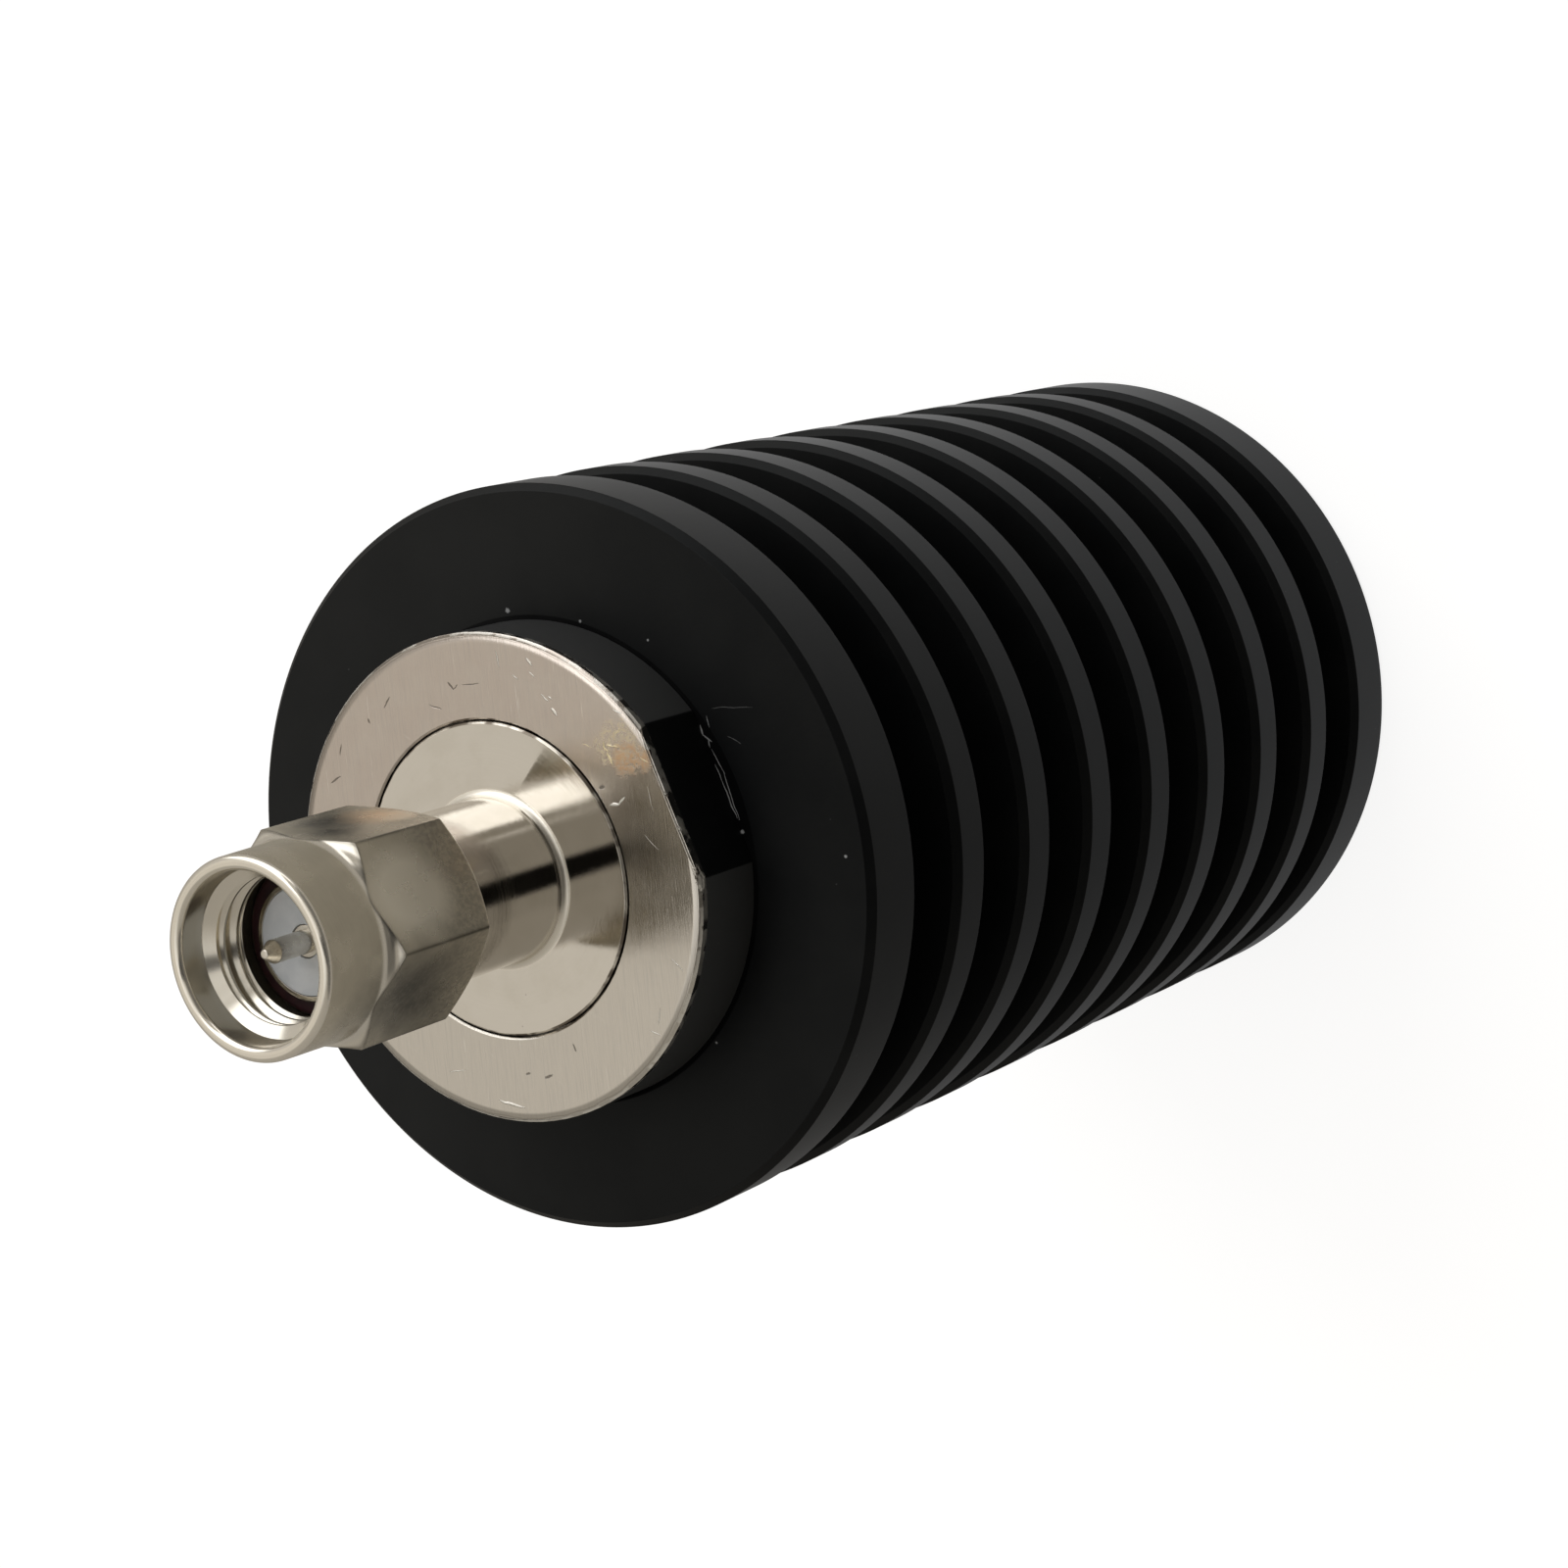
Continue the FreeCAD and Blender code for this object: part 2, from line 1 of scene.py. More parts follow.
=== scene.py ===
# %% [markdown]
# A coaxial terminator soaks up the power at the end of a cable. What shows is a black finned heat
# sink, a silver plate with a thin neck on it, and a hexagonal nut that screws onto a cable. This
# lesson loads the finished solids as a fixed frame and dresses them: the curved metal that catches
# the light is made again as smooth surfaces, and the rest keeps its solid and gets a finish.

# %% Load the frame
import math
from functools import reduce
import bmesh
import bpy
import numpy as np
from mathutils import Matrix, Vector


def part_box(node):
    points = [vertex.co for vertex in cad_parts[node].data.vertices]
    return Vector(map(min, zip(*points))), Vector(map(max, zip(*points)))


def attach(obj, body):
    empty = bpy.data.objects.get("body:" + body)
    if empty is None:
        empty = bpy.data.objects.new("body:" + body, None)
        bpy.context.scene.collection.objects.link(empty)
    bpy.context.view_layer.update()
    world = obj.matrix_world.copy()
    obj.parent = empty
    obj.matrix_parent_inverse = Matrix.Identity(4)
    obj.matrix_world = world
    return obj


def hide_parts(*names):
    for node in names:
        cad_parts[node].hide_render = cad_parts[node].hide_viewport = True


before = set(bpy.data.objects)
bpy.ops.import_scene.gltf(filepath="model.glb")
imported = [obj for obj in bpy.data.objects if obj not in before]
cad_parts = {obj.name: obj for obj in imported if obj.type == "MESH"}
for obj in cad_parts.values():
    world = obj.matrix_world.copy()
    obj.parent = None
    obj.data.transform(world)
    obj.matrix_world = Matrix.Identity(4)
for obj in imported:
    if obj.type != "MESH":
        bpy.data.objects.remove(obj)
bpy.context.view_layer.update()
MM = 0.001

# %% [markdown]
# The sizes that the lesson needs are read from the solids' boxes, so that the surfaces sit exactly
# where the solids do. Only what a box can't tell, such as a bevel, is written here in millimetres. The
# sizes that a finish needs as well as a surface come with them.


# %% Sizes from the frame, in millimetres
def low_mm(node):
    """The lowest corner of a solid's box."""
    return [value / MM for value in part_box(node)[0]]


def high_mm(node):
    """The highest corner of a solid's box."""
    return [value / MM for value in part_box(node)[1]]


FIN_RADIUS, _, HUB_Z = high_mm("heat_sink")
FLAT_X, PLATE_RADIUS, PLATE_Z = high_mm("load_core")
FLANGE_RADIUS, _, REFERENCE_Z = high_mm("connector_body")
GASKET_RADIUS, _, GASKET_TOP_Z = high_mm("gasket")
CONTACT_RADIUS, _, PIN_TIP_Z = high_mm("centre_contact")
INSULATOR_RADIUS = high_mm("front_insulator")[0]
NUT_FRONT_Z = high_mm("coupling_nut")[2]
RING_TOP_Z = high_mm("retaining_ring")[2]
CORE_Z, FLANGE_Z, INSULATOR_Z, GASKET_Z, CONTACT_Z, NUT_Z, RING_Z = [
    low_mm(node)[2] for node in ("load_core", "connector_body", "front_insulator", "gasket",
                                 "centre_contact", "coupling_nut", "retaining_ring")]
HUB_LENGTH = 3.25
FIN_FACE_Z = HUB_Z - HUB_LENGTH
NECK_RADIUS = 3.40
COVE = 0.32
NUT_APOTHEM = 3.97
NUT_MOUTH = 3.33
print("plate front at", round(PLATE_Z, 2), "mm, nut from", round(NUT_Z, 2), "to", round(NUT_FRONT_Z, 2))

# %% [markdown]
# The camera looks down at the connector from in front and to one side, and it is rolled, because in
# the picture the part lies on its side while here it stands on its rear face. A camera is placed
# most plainly by the point it looks at, its distance, two angles and a roll.

# %% Camera
AIM = (0.010, 0.122, 30.246)
CAMERA_DISTANCE = 160.51
CAMERA_AZIMUTH = -4.80
CAMERA_ELEVATION = 54.678
CAMERA_ROLL = 107.82
CAMERA_LENS = 82.262


def direction(azimuth, elevation):
    """The unit vector with this azimuth from +X and this elevation above the floor, in degrees."""
    across = math.cos(math.radians(elevation))
    return np.array([
        across * math.cos(math.radians(azimuth)),
        across * math.sin(math.radians(azimuth)),
        math.sin(math.radians(elevation)),
    ])


def make_camera():
    """Three axes make the camera: back toward the eye, and up and right turned by the roll."""
    back = direction(CAMERA_AZIMUTH, CAMERA_ELEVATION)
    level_right = np.cross(-back, (0, 0, 1))
    level_right /= np.linalg.norm(level_right)
    level_up = np.cross(back, level_right)
    roll = math.radians(CAMERA_ROLL)
    up = level_up * math.cos(roll) + level_right * math.sin(roll)
    right = np.cross(up, back)
    eye = (np.array(AIM) + back * CAMERA_DISTANCE) * MM
    data = bpy.data.cameras.new("camera")
    data.lens = CAMERA_LENS
    data.clip_start = 0.01
    camera = bpy.data.objects.new("camera", data)
    bpy.context.scene.collection.objects.link(camera)
    matrix = np.eye(4)
    matrix[:3, 0], matrix[:3, 1], matrix[:3, 2], matrix[:3, 3] = right, up, back, eye
    camera.matrix_world = Matrix(matrix.tolist())
    bpy.context.scene.camera = camera
    return eye


print("camera at", make_camera())

# %% [markdown]
# Every finish is a small tree of nodes. Helpers keep the trees short: the first adds a node and fills
# its inputs with plain values or with the sockets that feed them, and the others each wrap one kind
# of node, for arithmetic, a soft step, a mixed colour or a noise.


# %% Helpers for node trees
def add(tree, kind, inputs=None, output=0, **settings):
    """Adds a node, sets it up, fills its inputs by name or number, and returns one output."""
    node = tree.nodes.new(kind)
    for key, value in settings.items():
        setattr(node, key, value)
    for key, value in (inputs or {}).items():
        if isinstance(value, bpy.types.NodeSocket):
            tree.links.new(value, node.inputs[key])
        else:
            node.inputs[key].default_value = value
    return node.outputs[output] if node.outputs else None


def calc(tree, operation, *values):
    """One step of arithmetic."""
    return add(tree, "ShaderNodeMath", dict(enumerate(values)), operation=operation)


def product(tree, *values):
    """All the values multiplied."""
    return reduce(lambda total, value: calc(tree, "MULTIPLY", total, value), values)


def most(tree, *values):
    """The largest of the values."""
    return reduce(lambda total, value: calc(tree, "MAXIMUM", total, value), values)


def vector(tree, operation, *values):
    """One step of vector arithmetic. Dot products, lengths and distances come out as one number."""
    output = int(operation in ("DOT_PRODUCT", "LENGTH", "DISTANCE"))
    return add(tree, "ShaderNodeVectorMath", dict(enumerate(values)), output, operation=operation)


def scaled(tree, place, factor):
    """A vector times a number."""
    return add(tree, "ShaderNodeVectorMath", {0: place, "Scale": factor}, operation="SCALE")


def split(tree, place):
    """The three parts of a vector."""
    return add(tree, "ShaderNodeSeparateXYZ", {0: place}).node.outputs


def ramp(tree, value, start, end, low=0.0, high=1.0):
    """A smooth step of a value: low before start, high after end."""
    inputs = {0: value, 1: start, 2: end, 3: low, 4: high}
    return add(tree, "ShaderNodeMapRange", inputs, interpolation_type="SMOOTHSTEP")


def fall(tree, value, start, end):
    """A smooth step down: 1 before start, 0 after end."""
    return ramp(tree, value, start, end, 1.0, 0.0)


def clouds(tree, place, scale, detail, **more):
    """Soft noise over a place."""
    return add(tree, "ShaderNodeTexNoise", {"Vector": place, "Scale": scale, "Detail": detail, **more})


def ring_noise(tree, distance, per_mm, detail):
    """Noise along one distance only, like the fine rings that a turning tool leaves."""
    inputs = {"W": product(tree, distance, per_mm), "Detail": detail}
    return add(tree, "ShaderNodeTexNoise", inputs, noise_dimensions="1D")


def blend_colours(tree, share, first, second):
    """The first colour, turning into the second as the share goes from 0 to 1."""
    return add(tree, "ShaderNodeMix", {0: share, 6: first, 7: second}, output=2, data_type="RGBA")


def paint(tree, under, mask, strength, over):
    """A colour laid over another through a mask, at a strength from 0 to 1."""
    return blend_colours(tree, product(tree, mask, strength), under, over)


def grey(value):
    """A neutral colour."""
    return (value, value, value, 1.0)


# %% [markdown]
# The studio is plain: a pale floor and a dome of soft light. Polished metal shows its surroundings,
# so the dome is made like a room. It is dim and warm all round, bright and white where a tall window
# stands, pale behind the object, and black in one narrow strip where the person with the camera
# would be. These could be lamps and cards, but in the world's shader they cost no geometry. Each
# panel is a span of azimuths and elevations, in degrees, with a soft edge.

# %% Studio
WINDOW_LIGHT = (1.0, 1.0, 1.0)
BACK_LIGHT = (1.0, 0.94, 0.85)
DOME_LIGHT = (1.0, 0.93, 0.81)
DOME_LEVEL = 0.38
BACK_LEVEL = 0.32
BACK_AZIMUTH, BACK_ELEVATION = 165.0, 52.0
BACK_INNER, BACK_OUTER = 10, 36
WINDOW_PANELS = [
    ((68, 122), (4, 70), 2.0, 1.60),
    ((49, 52), (20, 70), 1.0, 0.60),
    ((50, 68), (-6, 16), 3.0, 1.30),
    ((124, 146), (4, 70), 6.0, 0.12),
]
DARK_PANELS = [
    ((-37, -5), (28, 84), 1.2, 0.98),
    ((-62, 48), (-4, 44), 8.0, 0.75),
]
ZENITH_LEVEL = 0.55
ZENITH_INNER, ZENITH_OUTER = 8, 34


def span(tree, value, limits, soft):
    """1 between two limits, falling to 0 outside them over a soft edge."""
    rise = ramp(tree, value, limits[0] - soft, limits[0] + soft)
    return product(tree, rise, fall(tree, value, limits[1] - soft, limits[1] + soft))


def patch(tree, ray, azimuth, elevation, inner, outer):
    """1 within the inner angle of a direction, 0 beyond the outer one, by the angle's cosine."""
    toward = vector(tree, "DOT_PRODUCT", ray, direction(azimuth, elevation))
    return ramp(tree, toward, math.cos(math.radians(outer)), math.cos(math.radians(inner)))


def make_world():
    """A room of light that the camera itself sees as plain white."""
    world = bpy.data.worlds.new("studio")
    bpy.context.scene.world = world
    world.use_nodes = True
    tree = world.node_tree
    tree.nodes.clear()
    ray = add(tree, "ShaderNodeTexCoord")
    parts = split(tree, ray)
    azimuth = calc(tree, "DEGREES", calc(tree, "ARCTAN2", parts[1], parts[0]))
    elevation = calc(tree, "DEGREES", calc(tree, "ARCSINE", parts[2]))

    def panel(azimuths, elevations, soft):
        across = span(tree, azimuth, azimuths, soft)
        return product(tree, across, span(tree, elevation, elevations, soft))

    def lit(share, level, colour, below):
        return vector(tree, "MULTIPLY_ADD", share, [level * value for value in colour], below)

    room = [DOME_LEVEL * value for value in DOME_LIGHT]
    behind = patch(tree, ray, BACK_AZIMUTH, BACK_ELEVATION, BACK_INNER, BACK_OUTER)
    room = lit(behind, BACK_LEVEL, BACK_LIGHT, room)
    overhead = patch(tree, ray, 0, 90, ZENITH_INNER, ZENITH_OUTER)
    room = lit(overhead, ZENITH_LEVEL, WINDOW_LIGHT, room)
    for azimuths, elevations, soft, level in WINDOW_PANELS:
        room = lit(panel(azimuths, elevations, soft), level, WINDOW_LIGHT, room)
    for azimuths, elevations, soft, share in DARK_PANELS:
        room = scaled(tree, room, calc(tree, "MULTIPLY_ADD", panel(azimuths, elevations, soft), -share, 1.0))
    seen = add(tree, "ShaderNodeLightPath")
    background = add(tree, "ShaderNodeBackground", {0: blend_colours(tree, seen, room, grey(1.0))})
    add(tree, "ShaderNodeOutputWorld", {0: background})


FLOOR_HALF_M = 3.0
FLOOR_GLOW = 0.86
FLOOR_PAINT = 0.30
FLOOR_MIRROR = 0.86
FLOOR_PLAIN = 0.72
FLOOR_SLOPE = (-0.70, 0.45)
FLOOR_BRIGHT_AZIMUTH = 112.0
FLOOR_FALL_MM = 62.0
FLOOR_FAR_MM = (40.0, 54.0)
FLOOR_FAR_COLOUR = (0.360, 0.338, 0.300, 1)


def make_floor():
    """A pale sheet: white with a soft shadow to the camera. In metal it is painted brighter toward
    the window, darker away from it, and dim brown-grey far off.
    """
    mesh = bpy.data.meshes.new("floor")
    half = FLOOR_HALF_M
    mesh.from_pydata([(-half, -half, 0), (half, -half, 0), (half, half, 0), (-half, half, 0)],
                     [], [(0, 1, 2, 3)])
    floor = bpy.data.objects.new("floor", mesh)
    bpy.context.scene.collection.objects.link(floor)
    material = bpy.data.materials.new("floor")
    material.use_nodes = True
    tree = material.node_tree
    tree.nodes.clear()
    rays = add(tree, "ShaderNodeLightPath").node
    matt = add(tree, "ShaderNodeBsdfDiffuse", {0: grey(FLOOR_PAINT)})
    glow = add(tree, "ShaderNodeEmission", {0: grey(1.0), 1: FLOOR_GLOW})
    lit = add(tree, "ShaderNodeAddShader", {0: matt, 1: glow})
    plain = add(tree, "ShaderNodeBsdfDiffuse", {0: grey(FLOOR_PLAIN)})
    place = add(tree, "ShaderNodeTexCoord", output=3)
    # Painted light and shade: in metal the floor is painted brighter toward the window, darker away from it,
    # and a dim brown-grey beyond 40 mm.
    toward = [value / (FLOOR_FALL_MM * MM) for value in direction(FLOOR_BRIGHT_AZIMUTH, 0)]
    slope = vector(tree, "DOT_PRODUCT", place, toward)
    slope = add(tree, "ShaderNodeClamp", {0: slope, 1: FLOOR_SLOPE[0], 2: FLOOR_SLOPE[1]})
    level = calc(tree, "MULTIPLY_ADD", slope, FLOOR_MIRROR, FLOOR_MIRROR)
    near = add(tree, "ShaderNodeCombineColor", {0: level, 1: level, 2: level})
    far = ramp(tree, vector(tree, "LENGTH", place), FLOOR_FAR_MM[0] * MM, FLOOR_FAR_MM[1] * MM)
    reflected = blend_colours(tree, far, near, FLOOR_FAR_COLOUR)
    mirror = add(tree, "ShaderNodeEmission", {0: reflected, 1: 1.0})
    seen = add(tree, "ShaderNodeMixShader", {0: rays.outputs["Is Camera Ray"], 1: plain, 2: lit})
    glossy = most(tree, rays.outputs["Is Glossy Ray"], rays.outputs["Is Transmission Ray"])
    out = add(tree, "ShaderNodeMixShader", {0: glossy, 1: seen, 2: mirror})
    add(tree, "ShaderNodeOutputMaterial", {0: out})
    mesh.materials.append(material)


make_world()
make_floor()
bpy.context.scene.view_settings.view_transform = "Standard"

# %% [markdown]
# Effects that more than one finish uses are node groups. Here are five. One reads a point's place
# on a turned piece in millimetres, one draws fine hairlines, one scatters specks, one marks a
# ragged spot round a chosen point, for a stain or a pit, and one draws a single scratch.


# %% Node groups
HAIRLINE_EDGE = 0.06


def new_group(name, inputs, outputs):
    """An empty group with named sockets. Each input is a name, a socket kind and a first value."""
    group = bpy.data.node_groups.new(name, "ShaderNodeTree")
    for label, kind, value in inputs:
        socket = group.interface.new_socket(label, in_out="INPUT", socket_type="NodeSocket" + kind)
        if value is not None:
            socket.default_value = value
    for label, kind in outputs:
        group.interface.new_socket(label, in_out="OUTPUT", socket_type="NodeSocket" + kind)
    return group, group.nodes.new("NodeGroupInput").outputs, group.nodes.new("NodeGroupOutput").inputs


def use(tree, group, output, **inputs):
    """Places a group in a tree and returns one of its outputs."""
    names = {key.replace("_", " "): value for key, value in inputs.items()}
    return add(tree, "ShaderNodeGroup", names, output=output, node_tree=group)


def make_place_group():
    """Place in millimetres, and distance from the axis."""
    group, _, out = new_group("turned_place", [], [("Place", "Vector"), ("Radius", "Float")])
    place = scaled(group, add(group, "ShaderNodeTexCoord", output=3), 1 / MM)
    parts = split(group, place)
    squares = calc(group, "ADD", calc(group, "POWER", parts[0], 2.0), calc(group, "POWER", parts[1], 2.0))
    group.links.new(place, out[0])
    group.links.new(calc(group, "SQRT", squares), out[1])
    return group


def make_hairline_group():
    """Long thin marks: noise turned about the axis and squeezed, with its crests as a mask."""
    group, given, out = new_group(
        "hairlines",
        [("Place", "Vector", None), ("Turn", "Float", 0.0), ("Squeeze", "Vector", (1, 1, 1)),
         ("Cover", "Float", 0.6)],
        [("Mask", "Float"), ("Height", "Float")],
    )
    inputs = {"Vector": given[0], "Angle": given[1]}
    turned = add(group, "ShaderNodeVectorRotate", inputs, rotation_type="Z_AXIS")
    crests = clouds(group, vector(group, "MULTIPLY", turned, given[2]), 1.0, 3.0, Roughness=0.6)
    edge = calc(group, "ADD", given[3], HAIRLINE_EDGE)
    group.links.new(add(group, "ShaderNodeMapRange", {0: crests, 1: given[3], 2: edge}), out[0])
    group.links.new(crests, out[1])
    return group


def make_speck_group():
    """Scattered specks: a cell's centre is kept where its random number passes the share."""
    group, given, out = new_group(
        "specks",
        [("Place", "Vector", None), ("Cells", "Float", 1.0), ("Size", "Float", 0.1), ("Share", "Float", 0.1)],
        [("Mask", "Float")],
    )
    cells = add(group, "ShaderNodeTexVoronoi", {"Vector": given[0], "Scale": given[1]}).node
    near = add(group, "ShaderNodeMapRange", {0: cells.outputs["Distance"], 1: given[2], 2: 0.0})
    random = add(group, "ShaderNodeSeparateColor", {0: cells.outputs["Color"]})
    group.links.new(product(group, near, calc(group, "LESS_THAN", random, given[3])), out[0])
    return group


def make_spot_group():
    """A ragged spot: the distance from a centre, shaken by noise, under a radius."""
    group, given, out = new_group(
        "spot",
        [("Place", "Vector", None), ("Centre", "Vector", (0, 0, 0)), ("Stretch", "Vector", (1, 1, 1)),
         ("Radius", "Float", 1.0), ("Ragged", "Float", 0.3), ("Core", "Float", 0.55)],
        [("Mask", "Float")],
    )
    offset = vector(group, "SUBTRACT", given[0], given[1])
    distance = vector(group, "LENGTH", vector(group, "MULTIPLY", offset, given[2]))
    noise = clouds(group, given[0], calc(group, "DIVIDE", 2.2, given[3]), 4.0)
    shaken = product(group, calc(group, "SUBTRACT", noise, 0.5), given[4], given[3])
    distance = calc(group, "MULTIPLY_ADD", shaken, 4.0, distance)
    inner = product(group, given[3], given[5])
    group.links.new(add(group, "ShaderNodeMapRange", {0: distance, 1: given[3], 2: inner}), out[0])
    return group


def make_stroke_group():
    """A scratch: a line between two points, thickest in the middle and thin at its ends."""
    group, given, out = new_group(
        "stroke",
        [("Place", "Vector", None), ("Start", "Vector", (0, 0, 0)), ("Run", "Vector", (1, 0, 0)),
         ("Width", "Float", 0.1)],
        [("Mask", "Float")],
    )
    offset = vector(group, "SUBTRACT", given[0], given[1])
    reach = vector(group, "DOT_PRODUCT", offset, given[2])
    length = vector(group, "DOT_PRODUCT", given[2], given[2])
    share = add(group, "ShaderNodeClamp", {0: calc(group, "DIVIDE", reach, length)})
    distance = vector(group, "DISTANCE", offset, scaled(group, given[2], share))
    swell = product(group, share, calc(group, "SUBTRACT", 1.0, share))
    half = product(group, calc(group, "MULTIPLY_ADD", swell, 2.8, 0.3), given[3], 0.5)
    inner = product(group, half, 0.45)
    group.links.new(add(group, "ShaderNodeMapRange", {0: distance, 1: half, 2: inner}), out[0])
    return group


PLACE = make_place_group()
HAIRLINES = make_hairline_group()
SPECKS = make_speck_group()
SPOT = make_spot_group()
STROKE = make_stroke_group()
print("node groups:", [group.name for group in bpy.data.node_groups])

# %% [markdown]
# A finish starts from one Principled shader. Marks that sit at chosen places, such as a stain or a
# scratch, are short rows of numbers in millimetres, and a loop places one node group for each row.


# %% Material helpers
STROKE_SHAKE = 0.16


def new_material(name, **values):
    """A material with one Principled shader whose plain values are set on its own sockets."""
    material = bpy.data.materials.new(name)
    material.use_nodes = True
    tree = material.node_tree
    tree.nodes.clear()
    shader = add(tree, "ShaderNodeBsdfPrincipled").node
    for key, value in values.items():
        shader.inputs[key.replace("_", " ")].default_value = value
    add(tree, "ShaderNodeOutputMaterial", {0: shader.outputs[0]})
    place, radius = add(tree, "ShaderNodeGroup", node_tree=PLACE).node.outputs
    return material, tree, shader.inputs, place, radius


def on_face(height, *rows):
    """Spots on a flat face, from rows of x, y, radius and the stretch along x and along y."""
    return [((x, y, height), radius, (along_x, along_y, 1)) for x, y, radius, along_x, along_y in rows]


def spots(tree, place, marks, ragged=0.3, core=0.55):
    """The union of several spots, each a centre, radius and stretch. A small core fades softly."""
    total = 0.0
    for centre, radius, stretch in marks:
        mask = use(tree, SPOT, 0, Place=place, Centre=centre, Radius=radius, Stretch=stretch,
                   Ragged=ragged, Core=core)
        total = most(tree, total, mask)
    return total


def strokes(tree, place, height, lines):
    """The union of several scratches at one height, each given as x, y, x, y and width.

    A little noise shifts the place first, so that the scratches are not quite straight.
    """
    noise = clouds(tree, place, 1.6, 2.0).node.outputs[1]
    shift = vector(tree, "SUBTRACT", noise, (0.5, 0.5, 0.5))
    shaken = vector(tree, "MULTIPLY_ADD", shift, (STROKE_SHAKE, STROKE_SHAKE, 0.0), place)
    total = 0.0
    for x1, y1, x2, y2, width in lines:
        run = (x2 - x1, y2 - y1, 0)
        mask = use(tree, STROKE, 0, Place=shaken, Start=(x1, y1, height), Run=run, Width=width)
        total = most(tree, total, mask)
    return total


def dent(tree, height, depth_mm, normal=None):
    """A bump of the given depth in millimetres from a height between 0 and 1."""
    inputs = {"Height": height, "Distance": depth_mm * MM, "Strength": 1.0}
    if normal is not None:
        inputs["Normal"] = normal
    return add(tree, "ShaderNodeBump", inputs)


def finish(tree, shader, colour, rough, bumps):
    """Feeds a finish's colour, roughness and bumps to its shader."""
    for name, socket in (("Base Color", colour), ("Roughness", rough), ("Normal", bumps)):
        tree.links.new(socket, shader[name])


# %% [markdown]
# Black anodised aluminium is nearly the darkest finish there is: the dye fills the pores of a clear
# oxide layer, so little light comes back and only the surface gives a dull sheen. The turning tool
# left faint rings on the faces, and handling left a few bright specks. A painted sheen lightens one
# side of the face and the hub apart from its flats, painted shade draws a dark line round the hub's
# foot, and painted highlights run along the foot of a flat beside a few scratches.

# %% Black anodised finish
FACE_SPECKS = on_face(
    FIN_FACE_Z,
    (2.71, 10.06, 0.13, 1, 1),
    (5.94, 8.35, 0.07, 1, 1),
    (8.72, 6.48, 0.06, 1, 1),
    (13.70, -4.43, 0.08, 1, 1),
    (4.50, -9.31, 0.06, 1, 1),
    (9.56, -1.97, 0.10, 1, 1),
)
# Painted highlights along the foot of a flat, and two thin scratches out on the face.
FOOT_HIGHLIGHTS_AND_SCRATCHES = [
    (9.66, 1.52, 9.78, 0.40, 0.045),
    (9.76, 0.55, 9.64, -1.50, 0.055),
    (9.53, 0.90, 9.54, 0.10, 0.045),
    (9.54, 0.20, 9.56, -1.40, 0.075),
    (9.56, 2.55, 9.53, 2.15, 0.09),
    (9.53, 2.20, 9.80, 1.75, 0.07),
    (10.03, 2.77, 9.90, 2.32, 0.04),
    (10.40, 2.96, 12.21, 2.35, 0.012),
    (10.60, 1.70, 11.10, 1.20, 0.014),
    (9.70, 1.95, 9.62, 1.60, 0.06),
]
BLACK_SPECULAR = 0.14
HUB_SHEEN = (0.0440, 0.0455, 0.0465, 1)
PAINTED_FACE_SHEEN = (0.0125, 0.0128, 0.0130, 1)
SHEEN_TOWARD = (-0.80, 0.60, 0.0)
BLACK_DYE = (0.0028, 0.0030, 0.0034, 1)
BLACK_CLOUD = (0.0050, 0.0052, 0.0055, 1)
BARE_METAL_AND_HIGHLIGHT = (0.30, 0.31, 0.32, 1)


def make_black_anodised():
    """Black dye under a dull clear sheen, with turning rings, specks, scratches, and painted sheen,
    shade and highlights.
    """
    material, tree, shader, place, radius = new_material("black_anodised", Specular_Tint=(0.90, 0.96, 1.0, 1))
    rings = ring_noise(tree, radius, 22.0, 3.0)
    cloud = clouds(tree, place, 0.28, 3.0)
    parts = split(tree, place)
    # Painted sheen: the face is painted lighter toward one side, in soft clouds.
    toward = vector(tree, "DOT_PRODUCT", place, SHEEN_TOWARD)
    face_sheen = product(tree, ramp(tree, toward, -9.0, 9.0), ramp(tree, cloud, 0.30, 0.75, 0.7, 1.0))
    # Painted sheen: the hub, apart from its flats, gets a lighter colour.
    hub = product(tree, ramp(tree, parts[2], FIN_FACE_Z + 0.02, FIN_FACE_Z + 0.05),
                  fall(tree, calc(tree, "ABSOLUTE", parts[0]), FLAT_X - 0.04, FLAT_X - 0.02))
    base = blend_colours(tree, ramp(tree, cloud, 0.35, 0.7), BLACK_DYE, BLACK_CLOUD)
    base = blend_colours(tree, hub, blend_colours(tree, face_sheen, base, PAINTED_FACE_SHEEN), HUB_SHEEN)
    # Painted shade: the sheen is taken off in a thin ring round the hub's foot, drawing a dark line where the
    # hub meets the face.
    foot = product(tree, fall(tree, radius, PLATE_RADIUS + 0.16, PLATE_RADIUS + 0.22),
                   ramp(tree, parts[2], FIN_FACE_Z - 0.02, FIN_FACE_Z - 0.01),
                   fall(tree, parts[2], FIN_FACE_Z + 0.02, FIN_FACE_Z + 0.05))
    level = calc(tree, "MULTIPLY_ADD", foot, -BLACK_SPECULAR, BLACK_SPECULAR)
    tree.links.new(level, shader["Specular IOR Level"])
    specks = use(tree, SPECKS, 0, Place=place, Cells=1.1, Size=0.045, Share=0.10)
    # Bare metal shows in specks and scratches, and as painted highlights at the flat's foot.
    marks = most(tree, product(tree, specks, 0.25), spots(tree, place, FACE_SPECKS, 0.25),
                 strokes(tree, place, FIN_FACE_Z, FOOT_HIGHLIGHTS_AND_SCRATCHES))
    colour = blend_colours(tree, marks, base, BARE_METAL_AND_HIGHLIGHT)
    finish(tree, shader, colour, ramp(tree, rings, 0.3, 0.7, 0.42, 0.50), dent(tree, rings, 0.0015))
    return material


BLACK_ANODISED = make_black_anodised()

